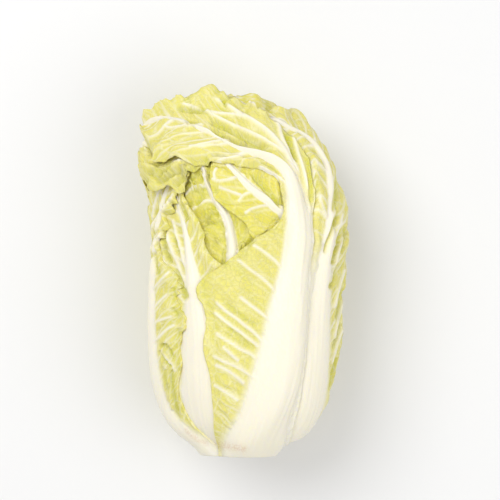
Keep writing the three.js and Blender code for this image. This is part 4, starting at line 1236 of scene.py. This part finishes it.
def add_node(tree, kind, inputs, **settings):
    """A node with its settings, and with values or other sockets put into its inputs."""
    node = tree.nodes.new("ShaderNode" + kind)
    for key, value in settings.items():
        setattr(node, key, value)
    for key, value in inputs.items():
        if isinstance(value, bpy.types.NodeSocket):
            tree.links.new(value, node.inputs[key])
        else:
            node.inputs[key].default_value = value
    return node


def math_node(tree, operation, *values):
    return add_node(tree, "Math", dict(enumerate(values)), operation=operation).outputs[0]


def mix_color(tree, factor, a, b):
    return add_node(tree, "Mix", {0: factor, 6: a, 7: b}, data_type="RGBA").outputs[2]


def share_of(tree, value):
    """The value held between 0 and 1."""
    return math_node(tree, "MAXIMUM", math_node(tree, "MINIMUM", value, 1.0), 0.0)


def leaf_tint_group():
    """Colour of a leaf from masks: pale stalk and veins, blade, painted shade in creases and hollows with a
    darker tone at margins, browned cuts.
    """
    group, give, take = node_group("Leaf Tint", [
        *((name, "NodeSocketFloat", 0) for name in ("White", "Net", "Painted Shade", "Margin", "Cut")),
        ("Position", "NodeSocketVector", None),
        ("Stalk Color", "NodeSocketColor", (1, 1, 1, 1)), ("Blade Color", "NodeSocketColor", (1, 1, 0, 1)),
        ("Shade And Margin Color", "NodeSocketColor", (0, 1, 0, 1)), ("Cut Color", "NodeSocketColor", (0.5, 0.3, 0.1, 1)),
    ], [("Color", "NodeSocketColor")])
    cloud = add_node(group, "TexNoise", {"Vector": give["Position"], "Scale": CLOUD_SCALE, "Detail": 3})
    patch = math_node(group, "MULTIPLY_ADD", cloud.outputs["Fac"], 1.6, -0.55)
    # A darker tone at the margins in random patches, and painted shade where the leaf lies low
    deep = math_node(group, "MULTIPLY", math_node(group, "MULTIPLY_ADD", give["Margin"], 0.35, 0.2), patch)
    deep = math_node(group, "ADD", deep, math_node(group, "MULTIPLY", give["Painted Shade"], 0.8))
    blade = mix_color(group, share_of(group, deep), give["Blade Color"], give["Shade And Margin Color"])
    pale = math_node(group, "MAXIMUM", give["White"], give["Net"])
    color = mix_color(group, pale, blade, give["Stalk Color"])
    speck = add_node(group, "TexNoise", {"Vector": give["Position"], "Scale": SPECK_SCALE})
    brown = math_node(group, "MULTIPLY_ADD", speck.outputs["Fac"], 2.4, -0.7)
    brown = share_of(group, math_node(group, "MULTIPLY", give["Cut"], brown))
    group.links.new(mix_color(group, brown, color, give["Cut Color"]), take["Color"])
    return group


def fine_net_group():
    """The finest veins of a blade, as a mask and a height."""
    group, give, take = node_group("Fine Vein Net", [
        ("Lay", "NodeSocketVector", None), ("Cell Size", "NodeSocketFloat", 0.03),
        ("Blade", "NodeSocketFloat", 1),
    ], [("Mask", "NodeSocketFloat"), ("Height", "NodeSocketFloat")])
    warp = add_node(group, "TexNoise", {"Vector": give["Lay"], "Scale": WARP_SCALE})
    reach = (WARP_REACH, WARP_REACH, 0)
    moved = add_node(group, "VectorMath", {0: warp.outputs["Color"], 1: reach, 2: give["Lay"]},
                     operation="MULTIPLY_ADD")
    scale = math_node(group, "DIVIDE", 1.0, give["Cell Size"])
    cells = add_node(group, "TexVoronoi", {"Vector": moved.outputs[0], "Scale": scale},
                     voronoi_dimensions="2D", feature="DISTANCE_TO_EDGE")
    away = math_node(group, "DIVIDE", cells.outputs["Distance"], NET_LINE)
    line = math_node(group, "MAXIMUM", math_node(group, "SUBTRACT", 1.0, away), 0.0)
    mask = math_node(group, "MULTIPLY", line, give["Blade"])
    group.links.new(mask, take["Mask"])
    group.links.new(mask, take["Height"])
    return group


def stalk_grain_group():
    """Fine threads along a stalk, as a height."""
    group, give, take = node_group("Stalk Grain", [
        ("Lay", "NodeSocketVector", None), ("Stalk", "NodeSocketFloat", 1),
    ], [("Height", "NodeSocketFloat")])
    stretched = add_node(group, "VectorMath", {0: give["Lay"], 1: THREAD_STRETCH}, operation="MULTIPLY")
    threads = add_node(group, "TexNoise", {"Vector": stretched.outputs[0], "Scale": 1.0, "Detail": 2})
    group.links.new(math_node(group, "MULTIPLY", threads.outputs["Fac"], give["Stalk"]), take["Height"])
    return group


def leaf_material(name, blade_color, groups):
    finish = bpy.context.scene.cabbage_finish
    material = bpy.data.materials.new(name)
    material.use_nodes = True
    tree = material.node_tree
    tree.nodes.clear()

    def mask(key):
        return add_node(tree, "Attribute", {}, attribute_name=key).outputs["Fac"]

    lay = add_node(tree, "UVMap", {}, uv_map="lay").outputs[0]
    position = add_node(tree, "TexCoord", {}).outputs["Object"]
    white = mask("white")
    blade = math_node(tree, "SUBTRACT", 1.0, white)
    net = add_node(tree, "Group", {"Lay": lay, "Blade": blade, "Cell Size": NET_SIZE},
                   node_tree=groups["net"])
    grain = add_node(tree, "Group", {"Lay": lay, "Stalk": white}, node_tree=groups["grain"])
    line = math_node(tree, "MULTIPLY", net.outputs["Mask"], NET_TINT)
    tint = add_node(tree, "Group", {
        "White": white, "Net": math_node(tree, "MAXIMUM", mask("net"), line), "Painted Shade": mask("low"),
        "Margin": mask("margin"), "Cut": mask("cut"), "Position": position,
        "Stalk Color": finish.stalk_color, "Blade Color": blade_color, "Shade And Margin Color": finish.shade_and_margin_color,
        "Cut Color": finish.cut_color,
    }, node_tree=groups["tint"])
    threads = math_node(tree, "MULTIPLY", grain.outputs["Height"], THREAD_HEIGHT)
    bump = add_node(tree, "Bump", {
        "Strength": BUMP_STRENGTH, "Distance": BUMP_HEIGHT,
        "Height": math_node(tree, "ADD", net.outputs["Height"], threads),
    })
    shader = add_node(tree, "BsdfPrincipled", {
        "Base Color": tint.outputs["Color"],
        "Roughness": math_node(tree, "MULTIPLY_ADD", blade, BLADE_ROUGHER, STALK_ROUGHNESS),
        "Normal": bump.outputs["Normal"], "Specular IOR Level": 0.4, "Subsurface Weight": 0.25,
        "Subsurface Radius": (1.0, 0.85, 0.3), "Subsurface Scale": 0.003,
    })
    add_node(tree, "OutputMaterial", {"Surface": shader.outputs[0]})
    return material


def finishes():
    """The material of each slot, made once."""
    finish = bpy.context.scene.cabbage_finish
    if not _finishes:
        groups = {"tint": leaf_tint_group(), "net": fine_net_group(), "grain": stalk_grain_group()}
        for slot, blade in (("outer_leaf", finish.blade_color), ("inner_leaf", finish.heart_color),
                            ("heart_leaf", finish.heart_color)):
            _finishes[slot] = leaf_material("veined_" + slot, blade, groups)
    return _finishes


# ---- Operators ----

_pile = []
_finishes = {}


def the_pile():
    if not _pile:
        _pile.append(Pile())
    return _pile[0]


def add_leaves(kind):
    """Drapes and builds the leaves of a kind, on those that are already laid."""
    pile = the_pile()
    wanted = [leaf["index"] for leaf in pile.leaves if leaf["kind"] == kind]
    if wanted[0] != pile.laid:
        raise RuntimeError(f"the {kind} leaves go on after leaf {wanted[0]}, and {pile.laid} are laid")
    slot = "inner_leaf" if kind in ("inner", "opening") else "outer_leaf"
    for index in wanted:
        leaf = drape(pile, pile.leaves[index])
        piece = leaf_mesh(leaf)
        piece.data.materials.append(finishes()[slot])
        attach(piece, "root")
        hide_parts(leaf["node"])
        pile.laid += 1
    return {"FINISHED"}


class AddHeart(bpy.types.Operator):
    """Adds the heart of packed leaves and the stump of the stem"""

    bl_idname = "cabbage.add_heart"
    bl_label = "Add Heart"

    def execute(self, context):
        piece = heart_object()
        piece.data.materials.append(finishes()["heart_leaf"])
        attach(piece, "root")
        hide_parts("heart")
        return {"FINISHED"}


class AddInnerLeaves(bpy.types.Operator):
    """Adds the three leaves that close round the heart"""

    bl_idname = "cabbage.add_inner_leaves"
    bl_label = "Add Inner Leaves"

    def execute(self, context):
        return add_leaves("inner")


class AddOpeningLeaves(bpy.types.Operator):
    """Adds the two crinkled leaves that show in the opening at the front"""

    bl_idname = "cabbage.add_opening_leaves"
    bl_label = "Add Opening Leaves"

    def execute(self, context):
        return add_leaves("opening")


class AddBackLeaves(bpy.types.Operator):
    """Adds the two leaves low on the back"""

    bl_idname = "cabbage.add_back_leaves"
    bl_label = "Add Back Leaves"

    def execute(self, context):
        return add_leaves("back")


class AddSideLeaves(bpy.types.Operator):
    """Adds the three leaves whose stalks run up the sides"""

    bl_idname = "cabbage.add_side_leaves"
    bl_label = "Add Side Leaves"

    def execute(self, context):
        return add_leaves("side")


class AddCrownLeaf(bpy.types.Operator):
    """Adds the leaf that is gathered over the crown"""

    bl_idname = "cabbage.add_crown_leaf"
    bl_label = "Add Crown Leaf"

    def execute(self, context):
        return add_leaves("crown")


class AddWrapperLeaves(bpy.types.Operator):
    """Adds the leaf that the head lies on and the leaf that sweeps over its front"""

    bl_idname = "cabbage.add_wrapper_leaves"
    bl_label = "Add Wrapper Leaves"

    def execute(self, context):
        return add_leaves("wrapper")


# The stage, in metres, but for the sensor of the camera, which is in millimetres
FLOOR_SIZE = 8.0
FLOOR_PARTS = 8
FLOOR_ROUGHNESS = 0.7
FLOOR_DARKER = 0.985  # times its colour, where its grain is darkest
MAIN_LIGHT = ("main_softbox", (-0.7, 0.6, 1.5), 1.2)
FILL_LIGHT = ("fill_softbox", (0.9, -0.3, 1.3), 1.4)
FILL_SHARE = 0.5  # of the main light's power
CAMERA_PLACE = (0.0049, 0.0117)
CAMERA_FAR = 20.0
SENSOR_WIDTH = 36.0
SIDE_HEIGHT = 0.06  # at which the head is widest


def plain_material(name, color, roughness):
    material = bpy.data.materials.new(name)
    material.use_nodes = True
    tree = material.node_tree
    shader = tree.nodes["Principled BSDF"]
    grain = add_node(tree, "TexNoise", {"Scale": 3})
    tone = mix_color(tree, grain.outputs["Fac"], (*color, 1), (*(FLOOR_DARKER * c for c in color), 1))
    tree.links.new(tone, shader.inputs["Base Color"])
    shader.inputs["Roughness"].default_value = roughness
    return material


def add_light(name, place, size, power):
    light = bpy.data.lights.new(name, "AREA")
    light.shape = "DISK"
    light.size = size
    light.energy = power
    lamp = bpy.data.objects.new(name, light)
    lamp.location = place
    lamp.rotation_euler = (-Vector(place)).to_track_quat("-Z", "Y").to_euler()
    bpy.context.scene.collection.objects.link(lamp)


class AddStage(bpy.types.Operator):
    """Adds a pale floor, soft light and a camera that looks straight down"""

    bl_idname = "cabbage.add_stage"
    bl_label = "Add Stage"

    def execute(self, context):
        scene, stage = context.scene, context.scene.cabbage_stage
        bpy.ops.mesh.primitive_grid_add(x_subdivisions=FLOOR_PARTS, y_subdivisions=FLOOR_PARTS,
                                        size=FLOOR_SIZE)
        floor = context.object
        floor.name = "pale_floor"
        floor.data.materials.append(plain_material("pale_floor", stage.floor_color, FLOOR_ROUGHNESS))
        world = scene.world or bpy.data.worlds.new("soft_studio")
        scene.world = world
        world.use_nodes = True
        background = world.node_tree.nodes["Background"]
        background.inputs["Color"].default_value = (1, 1, 1, 1)
        background.inputs["Strength"].default_value = stage.world_strength
        add_light(*MAIN_LIGHT, stage.light_power)
        add_light(*FILL_LIGHT, FILL_SHARE * stage.light_power)
        camera = bpy.data.objects.new("camera", bpy.data.cameras.new("camera"))
        camera.location = (*CAMERA_PLACE, stage.camera_height)
        camera.data.sensor_width = SENSOR_WIDTH
        camera.data.lens = SENSOR_WIDTH * (stage.camera_height - SIDE_HEIGHT) / stage.view_width
        camera.data.clip_end = CAMERA_FAR
        scene.collection.objects.link(camera)
        scene.camera = camera
        scene.view_settings.view_transform = "Standard"
        return {"FINISHED"}


class CabbagePanel(bpy.types.Panel):
    """Lists the pieces and the sizes and colours that they take"""

    bl_idname = "CABBAGE_PT_pieces"
    bl_label = "Napa Cabbage"
    bl_space_type = "VIEW_3D"
    bl_region_type = "UI"
    bl_category = "Cabbage"

    def draw(self, context):
        for operator in PIECES:
            self.layout.operator(operator.bl_idname)
        for group in (context.scene.cabbage_form, context.scene.cabbage_finish, context.scene.cabbage_stage):
            box = self.layout.box()
            for key in group.__annotations__:
                box.prop(group, key)


PIECES = (AddHeart, AddInnerLeaves, AddOpeningLeaves, AddBackLeaves, AddSideLeaves, AddCrownLeaf,
          AddWrapperLeaves, AddStage)
GROUPS = {"cabbage_form": CabbageForm, "cabbage_finish": CabbageFinish, "cabbage_stage": CabbageStage}
CLASSES = (*GROUPS.values(), *PIECES, CabbagePanel)


def register():
    for each in CLASSES:
        bpy.utils.register_class(each)
    for name, group in GROUPS.items():
        setattr(bpy.types.Scene, name, PointerProperty(type=group))


def unregister():
    for name in GROUPS:
        delattr(bpy.types.Scene, name)
    for each in reversed(CLASSES):
        bpy.utils.unregister_class(each)


def main():
    register()
    bpy.ops.cabbage.add_heart()
    bpy.ops.cabbage.add_inner_leaves()
    bpy.ops.cabbage.add_opening_leaves()
    bpy.ops.cabbage.add_back_leaves()
    bpy.ops.cabbage.add_side_leaves()
    bpy.ops.cabbage.add_crown_leaf()
    bpy.ops.cabbage.add_wrapper_leaves()
    bpy.ops.cabbage.add_stage()


if __name__ == "__main__":
    main()
